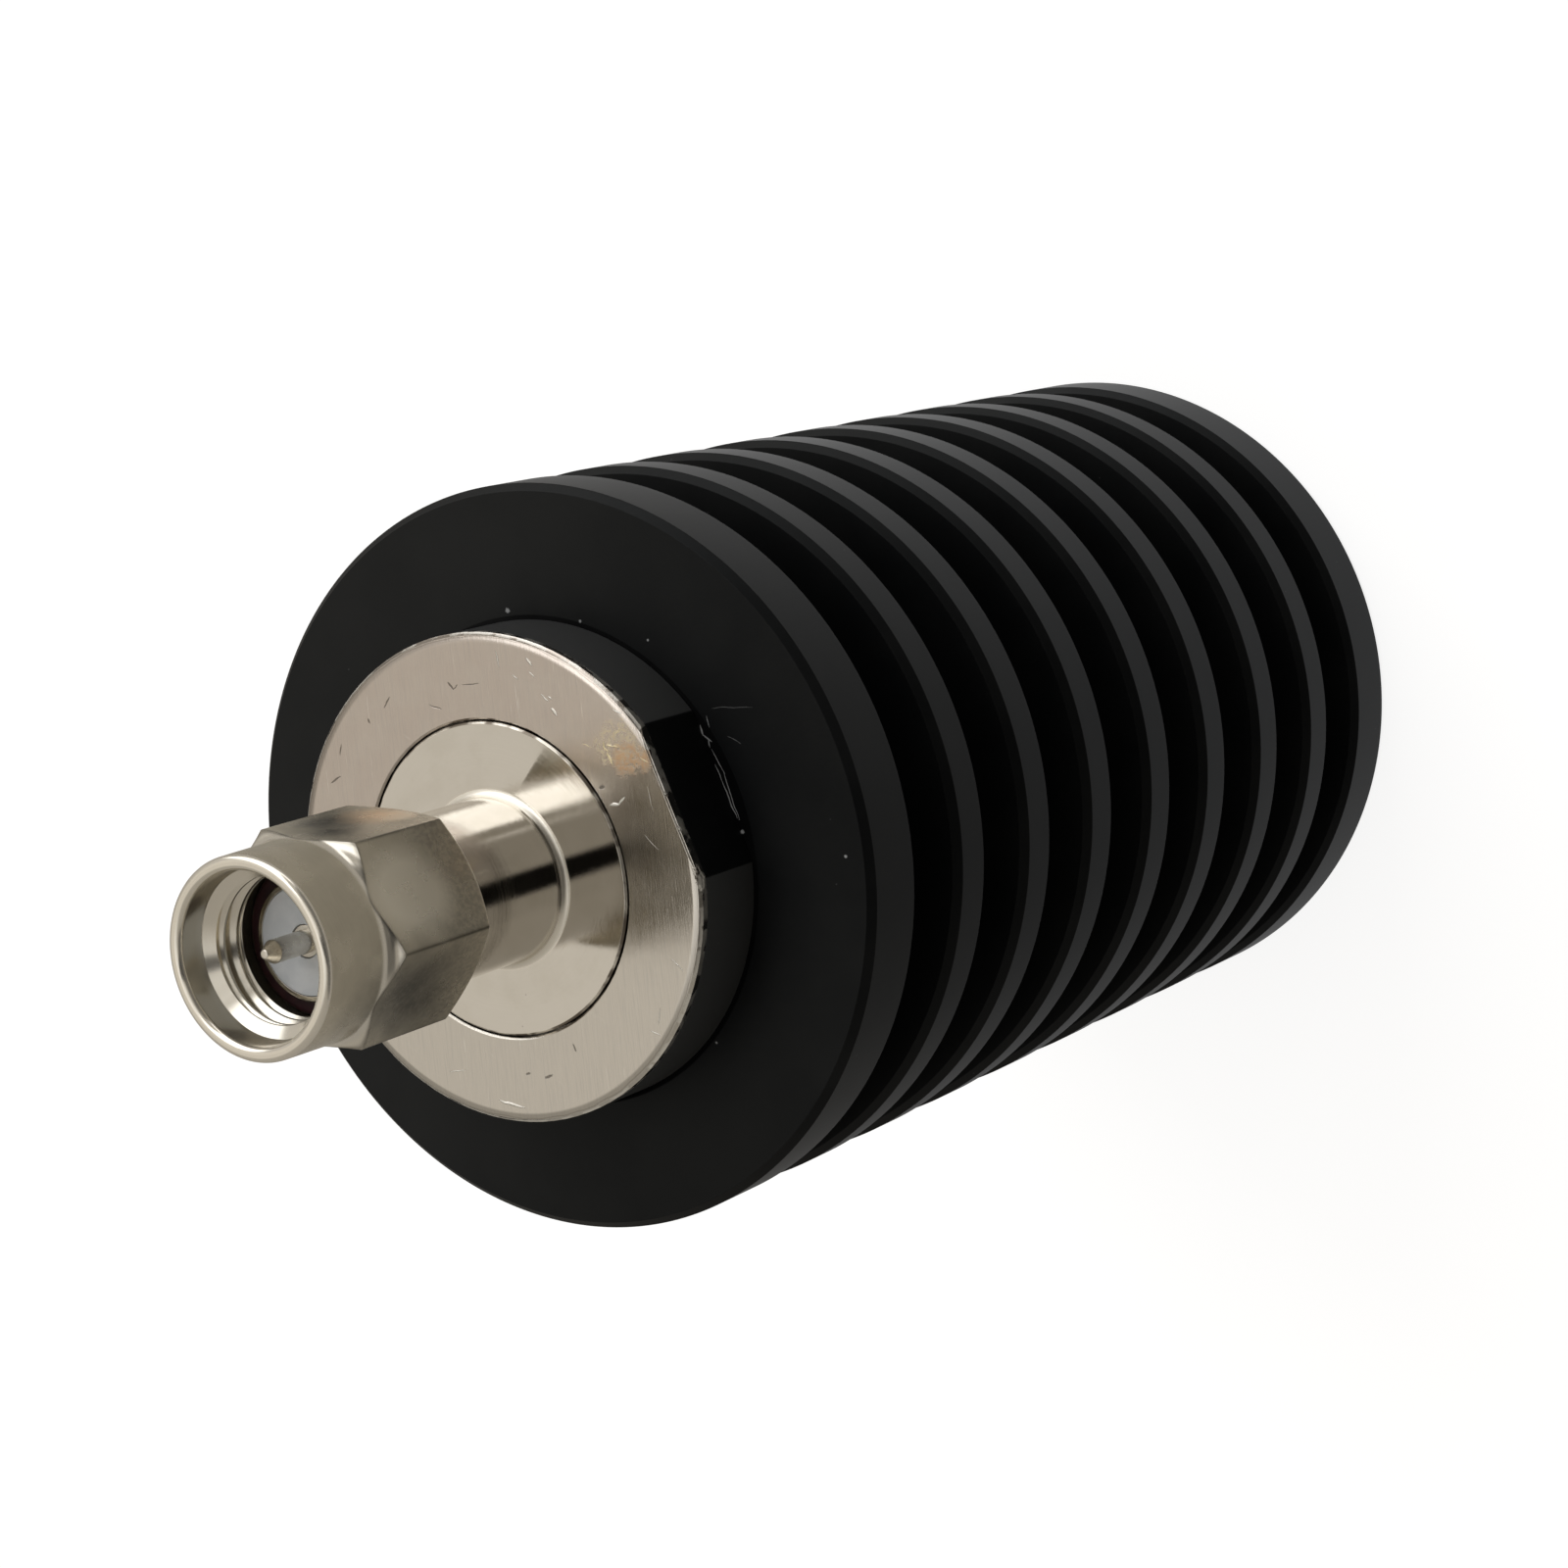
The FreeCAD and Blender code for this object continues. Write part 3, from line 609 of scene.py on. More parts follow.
# %% [markdown]
# Nickel plating is a slightly warm silver. On the plate it lies over turned metal that was then
# rubbed in one direction, so fine hairlines run across it, and years of use left short scratches,
# dark ticks, pits and one golden-brown tarnish stain beside the flat. The connector's own flange and
# neck were turned smooth and polished before plating, and mirror what is round them.

# %% Nickel finishes
NICKEL = (0.630, 0.598, 0.548, 1)
NICKEL_DARKER = (0.560, 0.500, 0.452, 1)
TARNISH = (0.680, 0.450, 0.260, 1)
YELLOWED = (0.760, 0.650, 0.460, 1)
STAIN = on_face(PLATE_Z, (8.35, 2.20, 0.85, 0.95, 1.05), (9.00, 1.95, 0.55, 1.0, 0.9))
PALE_STAIN = on_face(PLATE_Z, (8.20, 2.95, 1.00, 0.85, 1.0), (7.45, 2.85, 0.60, 1.0, 0.8))
GOLD_FLAKES = [
    (7.57, 2.74, 7.64, 2.24, 0.15),
    (7.60, 3.22, 7.50, 2.84, 0.11),
    (7.50, 3.05, 7.66, 2.78, 0.09),
    (7.90, 2.92, 8.20, 2.78, 0.07),
    (7.70, 3.06, 7.95, 2.90, 0.07),
    (6.62, 3.48, 6.98, 3.20, 0.05),
    (8.30, 3.30, 8.62, 3.42, 0.05),
    (8.95, 2.05, 9.25, 1.72, 0.05),
]
DARK_TICKS = on_face(
    PLATE_Z,
    (0.60, -7.41, 0.13, 3.4, 0.7),
    (-2.16, -7.68, 0.12, 0.8, 2.6),
    (-1.20, -8.09, 0.12, 0.5, 2.0),
    (-0.09, -4.58, 0.12, 2.4, 1.0),
    (6.72, 1.61, 0.12, 0.8, 1.2),
)
DARK_STROKES = [
    (1.44, 8.00, 1.56, 7.60, 0.09),
    (1.56, 7.62, 1.80, 7.70, 0.06),
    (2.05, 7.62, 2.90, 7.42, 0.05),
    (0.10, 7.55, 0.60, 7.15, 0.07),
    (-2.20, 8.20, -1.70, 8.52, 0.09),
    (-3.18, 8.12, -3.20, 7.90, 0.09),
    (-5.30, 7.30, -5.02, 7.66, 0.07),
    (-6.30, 6.40, -5.70, 6.46, 0.08),
]
EDGE_NICKS = on_face(PLATE_Z - 0.10, (9.45, -3.25, 0.20, 1.0, 0.30)) + on_face(
    PLATE_Z - 0.02,
    (9.48, 0.35, 0.07, 1.0, 0.6),
    (9.48, -1.10, 0.06, 1.0, 0.4),
    (9.48, 2.30, 0.07, 1.0, 0.6),
)
WHITE_STROKES = [
    (-4.10, -8.25, -2.98, -8.92, 0.13),
    (6.80, 0.86, 7.20, 0.72, 0.14),
    (7.15, 0.72, 7.55, 0.90, 0.10),
    (5.58, 7.46, 5.70, 7.12, 0.12),
    (5.84, 5.26, 5.93, 4.90, 0.16),
    (5.60, 5.95, 5.82, 5.55, 0.08),
    (5.45, 6.95, 5.62, 6.66, 0.07),
    (4.30, 8.30, 4.16, 7.60, 0.06),
    (4.62, 7.10, 4.82, 6.84, 0.06),
    (5.88, 5.74, 6.02, 5.55, 0.07),
    (7.80, -0.75, 8.15, -1.50, 0.035),
    (8.80, 0.90, 8.60, -0.10, 0.03),
    (8.60, 4.20, 8.95, 3.90, 0.07),
    (6.80, -5.60, 7.10, -6.20, 0.05),
    (5.40, -7.20, 5.00, -7.75, 0.06),
    (4.50, -7.90, 4.90, -8.20, 0.06),
    (-6.00, -6.40, -5.20, -6.60, 0.04),
]
RIM_ROUND = 0.42
FLAT_ROUND = 0.15
BRUSH_TURN = math.radians(-70.5)
CROSS_TURN = 0.9
BRUSH_GREY = grey(0.36)
DARK_MARK_AND_SHADE = (0.070, 0.055, 0.040, 1)
WHITE_MARK_AND_HIGHLIGHT = (0.95, 0.93, 0.88, 1)
GOLD = (1.0, 0.88, 0.60, 1)


def make_nickel_plate():
    """Satin nickel with hairlines, scratches, ticks, nicks, the tarnish stain and its gold flakes,
    and a painted highlight with a painted shade line along its edges.

    Seen in another metal surface it would be blurred twice, by its own roughness and by that
    metal's, so its roughness drops for rays that come from a reflection.
    """
    material, tree, shader, place, radius = new_material("nickel_plate", Metallic=1.0)
    brush = use(tree, HAIRLINES, 1, Place=place, Turn=BRUSH_TURN, Squeeze=(0.7, 20.0, 1.0))
    fine = use(tree, HAIRLINES, 0, Place=place, Turn=BRUSH_TURN, Squeeze=(0.5, 9.0, 1.0), Cover=0.66)
    cross = use(tree, HAIRLINES, 0, Place=place, Turn=CROSS_TURN, Squeeze=(0.55, 8.0, 1.0), Cover=0.69)
    turning = ring_noise(tree, radius, 12.0, 4.0)
    cloud = clouds(tree, place, 0.9, 5.0)
    parts = split(tree, place)
    # The plate is painted darker toward +y, in soft clouds.
    darker_side = product(tree, ramp(tree, parts[1], -3.0, 6.0), ramp(tree, cloud, 0.25, 0.70, 0.75, 1.0))
    colour = blend_colours(tree, darker_side, NICKEL, NICKEL_DARKER)
    colour = blend_colours(tree, ramp(tree, brush, 0.42, 0.75, 0.0, 0.20), colour, BRUSH_GREY)
    grain = clouds(tree, place, 3.2, 5.0, Distortion=1.2)
    pale = product(tree, spots(tree, place, PALE_STAIN, 0.16), ramp(tree, grain, 0.40, 0.62))
    colour = paint(tree, colour, pale, 0.70, YELLOWED)
    fleck = clouds(tree, place, 6.0, 4.0, Roughness=0.65)
    brown = product(tree, spots(tree, place, STAIN, 0.16), ramp(tree, fleck, 0.34, 0.60, 0.15, 1.0))
    colour = paint(tree, colour, brown, 0.80, TARNISH)
    from_rim = calc(tree, "SUBTRACT", PLATE_RADIUS, radius)
    from_flat = calc(tree, "SUBTRACT", FLAT_X, calc(tree, "ABSOLUTE", parts[0]))
    inward = calc(tree, "MINIMUM", from_rim, from_flat)
    rolled = calc(tree, "MINIMUM", calc(tree, "DIVIDE", from_rim, RIM_ROUND),
                  calc(tree, "DIVIDE", from_flat, FLAT_ROUND))
    patches = clouds(tree, place, 1.1, 3.0)
    wavy = calc(tree, "MULTIPLY_ADD", calc(tree, "SUBTRACT", patches, 0.5), 0.16, inward)
    # Painted highlight along the rim and the flat, broken in patches, with a painted shade line just inside
    # it.
    plate_edge_highlight = product(tree, fall(tree, wavy, 0.08, 0.14), ramp(tree, patches, 0.44, 0.54))
    plate_edge_shade = product(tree, ramp(tree, wavy, 0.13, 0.17), fall(tree, wavy, 0.17, 0.22))
    lip_dirt = product(tree, fall(tree, radius, FLANGE_RADIUS + 0.06, FLANGE_RADIUS + 0.12),
                       ramp(tree, patches, 0.46, 0.56, 1.0, 0.2))
    ticks = most(tree, spots(tree, place, DARK_TICKS, 0.35), strokes(tree, place, PLATE_Z, DARK_STROKES))
    nicks = spots(tree, place, EDGE_NICKS, 0.35)
    pits = use(tree, SPECKS, 0, Place=place, Cells=1.6, Size=0.05, Share=0.22)
    dark = most(tree, product(tree, ticks, 0.65), product(tree, pits, 0.35), product(tree, plate_edge_shade, 0.30),
                product(tree, lip_dirt, 0.75), nicks)
    colour = blend_colours(tree, dark, colour, DARK_MARK_AND_SHADE)
    cuts = strokes(tree, place, PLATE_Z, WHITE_STROKES)
    white = most(tree, cuts, product(tree, fine, 0.22), product(tree, cross, 0.15),
                 product(tree, plate_edge_highlight, 0.8))
    gold = strokes(tree, place, PLATE_Z, GOLD_FLAKES)
    colour = blend_colours(tree, gold, blend_colours(tree, white, colour, WHITE_MARK_AND_HIGHLIGHT), GOLD)
    rough = ramp(tree, cloud, 0.3, 0.75, 0.16, 0.23)
    rough = calc(tree, "MULTIPLY_ADD", most(tree, brown, pale, white, gold), 0.26, rough)
    mirrored = add(tree, "ShaderNodeLightPath", output=3)
    rough = product(tree, rough, calc(tree, "MULTIPLY_ADD", mirrored, -0.75, 1.0))
    sunk = calc(tree, "SUBTRACT", 0.0, most(tree, ticks, nicks))
    bumps = None
    for height, depth_mm in ((brush, 0.0055), (turning, 0.0010), (ramp(tree, rolled, 0.0, 1.0), 0.11),
                             (sunk, 0.02), (most(tree, gold, cuts), 0.022), (brown, 0.006)):
        bumps = dent(tree, height, depth_mm, bumps)
    finish(tree, shader, colour, rough, bumps)
    return material


POLISHED = (0.710, 0.680, 0.630, 1)
POLISHED_CLOUD = (0.670, 0.640, 0.585, 1)
COVE_HIGHLIGHT_COLOUR = (0.92, 0.88, 0.80, 1)
RING_COLOUR = (0.50, 0.47, 0.42, 1)
FLANGE_HIGHLIGHT_COLOUR = (0.90, 0.86, 0.78, 1)
RIM_DIRT = (0.090, 0.065, 0.045, 1)


def make_nickel_polished():
    """Bright turned nickel: faint turning rings on a mirror, and a rougher cove and rim painted
    bright as highlights, with dirt on the rim.

    The rings on the neck spread a reflection along the axis and leave it sharp round the axis.
    """
    material, tree, shader, place, radius = new_material("nickel_polished", Metallic=1.0)
    turning = ring_noise(tree, radius, 16.0, 4.0)
    cloud = clouds(tree, place, 0.6, 4.0)
    colour = blend_colours(tree, ramp(tree, cloud, 0.4, 0.75), POLISHED, POLISHED_CLOUD)
    flecks = use(tree, SPECKS, 0, Place=place, Cells=1.3, Size=0.07, Share=0.10)
    colour = paint(tree, colour, flecks, 0.45, grey(0.16))
    height = split(tree, place)[2]
    cove_end = NECK_RADIUS + COVE
    # Painted highlight: the cove at the neck's foot is painted a bright cream and made rougher.
    cove = product(tree, ramp(tree, radius, NECK_RADIUS + 0.005, NECK_RADIUS + 0.04),
                   fall(tree, radius, cove_end - 0.06, cove_end + 0.02),
                   ramp(tree, height, PLATE_Z - 0.02, PLATE_Z - 0.01))
    colour = blend_colours(tree, cove, colour, COVE_HIGHLIGHT_COLOUR)
    colour = blend_colours(tree, ramp(tree, turning, 0.48, 0.72, 0.0, 0.16), colour, RING_COLOUR)
    # Painted highlight: the flange's bevelled rim is painted bright and made rougher; dirt darkens it in
    # patches.
    rim = ramp(tree, radius, FLANGE_RADIUS - 0.12, FLANGE_RADIUS - 0.08)
    colour = paint(tree, colour, rim, 0.9, FLANGE_HIGHLIGHT_COLOUR)
    dirt = product(tree, rim, ramp(tree, clouds(tree, place, 0.9, 4.0), 0.40, 0.58))
    colour = paint(tree, colour, dirt, 0.85, RIM_DIRT)
    rough = ramp(tree, cloud, 0.35, 0.75, 0.030, 0.065)
    rough = calc(tree, "MULTIPLY_ADD", most(tree, cove, rim), 0.30, rough)
    feed = product(tree, ring_noise(tree, height, 20.0, 1.0),
                   fall(tree, radius, NECK_RADIUS + 0.005, NECK_RADIUS + 0.02))
    finish(tree, shader, colour, rough, dent(tree, feed, 0.0007, dent(tree, turning, 0.0009)))
    return material


def on_nut(angle, height):
    """A place on the nut's side, from its angle about the axis in degrees and its height."""
    return (NUT_APOTHEM * math.cos(math.radians(angle)), NUT_APOTHEM * math.sin(math.radians(angle)), height)


SMOKE_AND_SHADE = [
    (on_nut(76, 60.4), 1.75, (1, 1, 0.72)),
    (on_nut(62, 61.4), 1.20, (1, 1, 0.75)),
    (on_nut(-54, 61.2), 2.95, (1, 1, 0.70)),
    (on_nut(-64, 60.8), 2.50, (1, 1, 0.70)),
]
PAINTED_LIGHT_SPOTS = [
    (on_nut(3, 60.8), 2.10, (1, 1, 0.80)),
    (on_nut(57, 58.0), 0.95, (1, 1, 0.80)),
]
HEAT_TINT = [(on_nut(66, 58.4), 1.60, (1, 1, 0.85))]
REAR_MOTTLE = (58.2, 60.6)
NUT_NICKEL = (0.610, 0.560, 0.455, 1)
NUT_CLOUD = (0.540, 0.495, 0.400, 1)
NUT_BRUSH = (0.38, 0.35, 0.29, 1)
MOTTLE_COLOUR = (0.20, 0.19, 0.165, 1)
PAINTED_LIGHT_COLOUR = (0.880, 0.825, 0.700, 1)
SMOKE_AND_SHADE_COLOUR = (0.105, 0.100, 0.088, 1)
TINT_COLOUR = (0.92, 0.66, 0.42, 1)
FORWARD_HIGHLIGHT_COLOUR = (0.900, 0.860, 0.780, 1)
NUT_EDGE_SHADE_COLOUR = (0.10, 0.09, 0.072, 1)
SMOOTH_ROUGHNESS = 0.16


def make_nickel_nut():
    """Satin nickel, rubbed dull by fingers and spanners, with smoky patches that are partly painted
    shade, and painted shade along its edges.

    Outside, fine wear scatters the light widely. The sweep and the lip, which face forward, stay
    smoother and are painted bright as a highlight, and inside the mouth no finger reaches, so the
    plating there is still smooth.
    """
    material, tree, shader, place, radius = new_material("nickel_nut", Metallic=0.80)
    cloud = clouds(tree, place, 0.60, 3.0)
    grain = clouds(tree, place, 5.5, 5.0, Roughness=0.65)
    brush = use(tree, HAIRLINES, 1, Place=place, Squeeze=(0.9, 0.9, 13.0))
    outside = ramp(tree, radius, NUT_MOUTH + 0.03, NUT_MOUTH + 0.27)
    colour = blend_colours(tree, ramp(tree, cloud, 0.30, 0.70), NUT_NICKEL, NUT_CLOUD)
    colour = blend_colours(tree, ramp(tree, brush, 0.45, 0.80, 0.0, 0.16), colour, NUT_BRUSH)
    # The outside is painted darker toward the rear, in a mottled band.
    rear = fall(tree, split(tree, place)[2], REAR_MOTTLE[0], REAR_MOTTLE[1])
    mottle = product(tree, rear, outside, ramp(tree, grain, 0.38, 0.62))
    colour = paint(tree, colour, mottle, 0.40, MOTTLE_COLOUR)
    # Painted light: two spots on the flats are painted lighter.
    colour = paint(tree, colour, spots(tree, place, PAINTED_LIGHT_SPOTS, 0.02), 0.85, PAINTED_LIGHT_COLOUR)
    # Dark smoky patches on the flats: partly smudges, partly painted shade.
    smoke_and_shade = product(tree, spots(tree, place, SMOKE_AND_SHADE, 0.16, 0.10), ramp(tree, grain, 0.25, 0.60, 0.8, 1.0))
    colour = paint(tree, colour, smoke_and_shade, 0.92, SMOKE_AND_SHADE_COLOUR)
    colour = paint(tree, colour, spots(tree, place, HEAT_TINT, 0.12, 0.15), 0.75, TINT_COLOUR)
    # Painted highlight: surfaces that face forward, the sweep and the lip, are painted bright.
    normal = add(tree, "ShaderNodeTexCoord", output=1)
    forward = ramp(tree, split(tree, normal)[2], 0.06, 0.30)
    colour = paint(tree, colour, forward, 0.80, FORWARD_HIGHLIGHT_COLOUR)
    # Painted shade: the colour is darkened along the nut's corners and where the flats meet the sweep.
    edge = add(tree, "ShaderNodeAttribute", attribute_name="edge", output=2)
    nut_edge_shade = product(tree, edge, ramp(tree, cloud, 0.25, 0.60, 0.45, 0.85))
    satin = ramp(tree, cloud, 0.3, 0.75, 0.25, 0.33)
    dull = product(tree, outside, calc(tree, "MULTIPLY_ADD", forward, -0.85, 1.0))
    rough = calc(tree, "SUBTRACT", satin, SMOOTH_ROUGHNESS)
    rough = calc(tree, "MULTIPLY_ADD", dull, rough, SMOOTH_ROUGHNESS)
    finish(tree, shader, blend_colours(tree, nut_edge_shade, colour, NUT_EDGE_SHADE_COLOUR), rough, dent(tree, brush, 0.0005))
    return material


NICKEL_PLATE = make_nickel_plate()
NICKEL_POLISHED = make_nickel_polished()
NICKEL_NUT = make_nickel_nut()

# %% [markdown]
# The nut's mouth shows three more materials: the white plastic that holds the pin, the dark red
# rubber ring that seals the joint, and the plated pin. Inside the part are a ceramic resistor with
# its printed films, copper, solder and steel screws. Each gets colour that varies a little.


# %% Plastic, rubber and inner finishes
def make_simple(name, first, second, scale, rough_low, rough_high, metallic=0.0, depth_mm=0.002):
    """A finish from one noise: two colours, two roughnesses and a fine bump."""
    material, tree, shader, place, _ = new_material(name, Metallic=metallic)
    noise = clouds(tree, place, scale, 4.0)
    colour = blend_colours(tree, ramp(tree, noise, 0.35, 0.65), first, second)
    rough = ramp(tree, noise, 0.3, 0.7, rough_low, rough_high)
    finish(tree, shader, colour, rough, dent(tree, noise, depth_mm))
    return material


INSULATOR_WHITE = make_simple(
    "insulator_white", (0.62, 0.655, 0.70, 1), (0.70, 0.73, 0.77, 1), 1.2, 0.38, 0.50)
GASKET_RUBBER = make_simple(
    "gasket_rubber", (0.022, 0.006, 0.008, 1), (0.036, 0.008, 0.011, 1), 3.0, 0.42, 0.55)
CONTACT_METAL = make_simple(
    "contact_metal", (0.70, 0.67, 0.61, 1), (0.64, 0.61, 0.55, 1), 2.0, 0.24, 0.32, 1.0, 0.0008)
STEEL = ((0.50, 0.49, 0.47, 1), (0.42, 0.41, 0.40, 1), 2.0, 0.25, 0.38, 1.0)
SILVER_PRINT = ((0.76, 0.74, 0.70, 1), (0.68, 0.66, 0.61, 1), 4.0, 0.28, 0.40, 1.0)
INNER_FINISHES = {
    "retaining_ring": ("spring_metal", (0.52, 0.40, 0.20, 1), (0.46, 0.34, 0.17, 1), 2.0, 0.25, 0.35, 1.0),
    "rear_insulator": ("bead_white", (0.72, 0.73, 0.74, 1), (0.66, 0.67, 0.69, 1), 1.5, 0.40, 0.50, 0.0),
    "core_cover": ("nickel_cover", (0.60, 0.56, 0.49, 1), (0.52, 0.48, 0.42, 1), 0.8, 0.25, 0.35, 1.0),
    "resistor_base": ("base_metal", (0.62, 0.58, 0.51, 1), (0.55, 0.50, 0.43, 1), 1.0, 0.25, 0.35, 1.0),
    "chip_solder": ("solder", (0.45, 0.45, 0.46, 1), (0.38, 0.38, 0.39, 1), 3.0, 0.30, 0.45, 1.0),
    "resistor_chip": ("ceramic", (0.76, 0.75, 0.72, 1), (0.70, 0.69, 0.66, 1), 2.5, 0.50, 0.62, 0.0),
    "resistor_lid": ("ceramic_lid", (0.74, 0.73, 0.70, 1), (0.68, 0.67, 0.64, 1), 2.5, 0.50, 0.62, 0.0),
    "resistor_film": ("film", (0.030, 0.022, 0.018, 1), (0.045, 0.034, 0.028, 1), 5.0, 0.35, 0.50, 0.0),
    "input_pad": ("silver_pad", *SILVER_PRINT),
    "ground_pad": ("silver_pad_rear", *SILVER_PRINT),
    "resistor_lead": ("lead_silver", (0.74, 0.72, 0.68, 1), (0.66, 0.64, 0.59, 1), 3.0, 0.20, 0.30, 1.0),
    "base_screws": ("steel", *STEEL),
    "base_washers": ("steel_washer", *STEEL),
    "cover_screws": ("steel_small", *STEEL),
}


def dress(node, material):
    """Gives every face of a kept solid one finish."""
    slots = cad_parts[node].material_slots
    if not slots:
        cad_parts[node].data.materials.append(material)
    for slot in slots:
        slot.material = material


dress("load_core", NICKEL_PLATE)
for node, values in INNER_FINISHES.items():
    dress(node, make_simple(*values))
print("inner finishes:", len(INNER_FINISHES))

# %% [markdown]
# Turned pieces are outlines spun about the axis. The outline is a list of corners, and each may have
# a small rounding, because a real edge is never perfectly sharp and it is the rounding that catches
# the light. The points of the whole surface are worked out at once as arrays.


# %% Surface helpers
GUARD = 0.02


def rounded(corners, steps=4):
    """A closed outline of (radius, height) points from corners (radius, height, rounding).

    Each rounding is an arc that touches both sides, at rounding / tan(half the corner's angle)
    from the corner. The arc's points are found by turning from one touching point to the other.
    One more point just past each end keeps the arc's slant out of the shading of the flat sides.
    """
    ends = np.array([corner[:2] for corner in corners], float)
    pieces = []
    for before, here, after, corner in zip(np.roll(ends, 1, 0), ends, np.roll(ends, -1, 0), corners):
        size = corner[2] if len(corner) > 2 else 0.0
        if size == 0.0:
            pieces.append(here[None])
            continue
        back = (before - here) / np.linalg.norm(before - here)
        on = (after - here) / np.linalg.norm(after - here)
        half = math.acos(float(back @ on)) / 2
        middle = (back + on) / np.linalg.norm(back + on)
        centre = here + middle * size / math.sin(half)
        touch = size / math.tan(half)
        start = here + back * touch - centre
        end = here + on * touch - centre
        turn = math.pi - 2 * half
        share = np.linspace(0, 1, steps + 1)[:, None]
        pieces.append((here + back * (touch + GUARD))[None])
        arc = np.sin((1 - share) * turn) * start + np.sin(share * turn) * end
        pieces.append(centre + arc / math.sin(turn))
        pieces.append((here + on * (touch + GUARD))[None])
    return np.concatenate(pieces)


def grid_piece(name, radius, angle, height, sharp=32.0, edge=None):
    """A closed surface from a grid of points in cylinder coordinates: rows run along the outline.

    x = radius cos(angle), y = radius sin(angle), z = height. Both directions close on themselves,
    and rows that lie on the axis are welded to one point. The edge array, if there is one, is kept
    as an attribute that a finish can read.
    """
    radius, angle, height = np.broadcast_arrays(radius, angle, height)
    points = np.stack([radius * np.cos(angle), radius * np.sin(angle), height], axis=-1) * MM
    rows, columns = radius.shape
    index = np.arange(rows * columns).reshape(rows, columns)
    above = np.roll(index, -1, axis=0)
    quads = np.stack([index, np.roll(index, -1, 1), np.roll(above, -1, 1), above], axis=-1).reshape(-1, 4)
    mesh = bpy.data.meshes.new(name)
    mesh.vertices.add(rows * columns)
    mesh.vertices.foreach_set("co", points.ravel())
    mesh.loops.add(quads.size)
    mesh.loops.foreach_set("vertex_index", quads.ravel())
    mesh.polygons.add(len(quads))
    mesh.polygons.foreach_set("loop_start", np.arange(0, quads.size, 4))
    mesh.update(calc_edges=True)
    if edge is not None:
        mesh.attributes.new("edge", "FLOAT", "POINT").data.foreach_set("value", edge.ravel())
    welded = bmesh.new()
    welded.from_mesh(mesh)
    bmesh.ops.remove_doubles(welded, verts=welded.verts, dist=1e-8)
    bmesh.ops.dissolve_degenerate(welded, edges=welded.edges, dist=1e-8)
    bmesh.ops.recalc_face_normals(welded, faces=welded.faces)
    welded.to_mesh(mesh)
    welded.free()
    mesh.polygons.foreach_set("use_smooth", np.ones(len(mesh.polygons), bool))
    mesh.set_sharp_from_angle(angle=math.radians(sharp))
    piece = bpy.data.objects.new(name, mesh)
    bpy.context.scene.collection.objects.link(piece)
    shading = piece.modifiers.new("even shading", "WEIGHTED_NORMAL")
    shading.keep_sharp = True
    print(name, "faces:", len(mesh.polygons))
    return piece


def dress_piece(piece, material, body, slot, *nodes):
    """Gives a new piece its finish and its body, and hides the solids it stands for. The slot is not used."""
    piece.data.materials.append(material)
    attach(piece, body)
    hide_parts(*nodes)


def full_turn(count, extra=()):
    """Angles right round, in rising order, with extra ones where an edge must fall."""
    even = np.arange(count) * 2 * math.pi / count
    return np.unique(np.concatenate([even, np.array(extra) % (2 * math.pi)]))


def turned_piece(name, corners, steps, columns, material, slot, node):
    """Spins an outline about the axis, gives the piece its finish, and hides its solid."""
    outline = rounded(corners, steps)
    piece = grid_piece(name, outline[:, :1], full_turn(columns)[None], outline[:, 1:])
    dress_piece(piece, material, "root", slot, node)


# %% [markdown]
# The heat sink is one bar, turned on a lathe: nine round fins with deep gaps, and a hub in front
# that a spanner holds by two flats. The whole outline is one list of corners, made by a loop over
# the fins. The flats are made by pulling the hub's points in to a plane: radius = flat / cos(angle).

# %% Heat sink
FIN_GAP = 3.35
FIRST_FIN = 3.15
THIN_FIN = 2.05
LAST_FIN = 3.30
FIN_COUNT = 9
FIN_BEVEL = 0.30
FIN_EDGE = 0.10
ROOT_RADIUS_MM = 9.70
ROOT_ROUND = 0.50
BORE_RADIUS = 7.52
BORE_FLOOR = CORE_Z - 0.40
EDGE = 0.03
TINY = 0.005


def heat_sink_outline():
    """Corners from the axis at the rear, over the nine fins and the hub, and back down the bore."""
    corners = [(0, 0), (FIN_RADIUS - FIN_BEVEL, 0, EDGE), (FIN_RADIUS, FIN_BEVEL, EDGE)]
    top = LAST_FIN
    for number in range(1, FIN_COUNT + 1):
        corners += [(FIN_RADIUS, top - FIN_BEVEL, EDGE), (FIN_RADIUS - FIN_BEVEL, top, EDGE)]
        if number == FIN_COUNT:
            break
        low = top + FIN_GAP
        corners += [(ROOT_RADIUS_MM, top, ROOT_ROUND), (ROOT_RADIUS_MM, low, ROOT_ROUND)]
        corners += [(FIN_RADIUS - FIN_EDGE, low, EDGE), (FIN_RADIUS, low + FIN_EDGE, EDGE)]
        top = low + (FIRST_FIN if number == FIN_COUNT - 1 else THIN_FIN)
    corners += [(PLATE_RADIUS, top), (PLATE_RADIUS, HUB_Z, EDGE)]
    return corners + [(BORE_RADIUS, HUB_Z), (BORE_RADIUS, BORE_FLOOR), (0, BORE_FLOOR)]


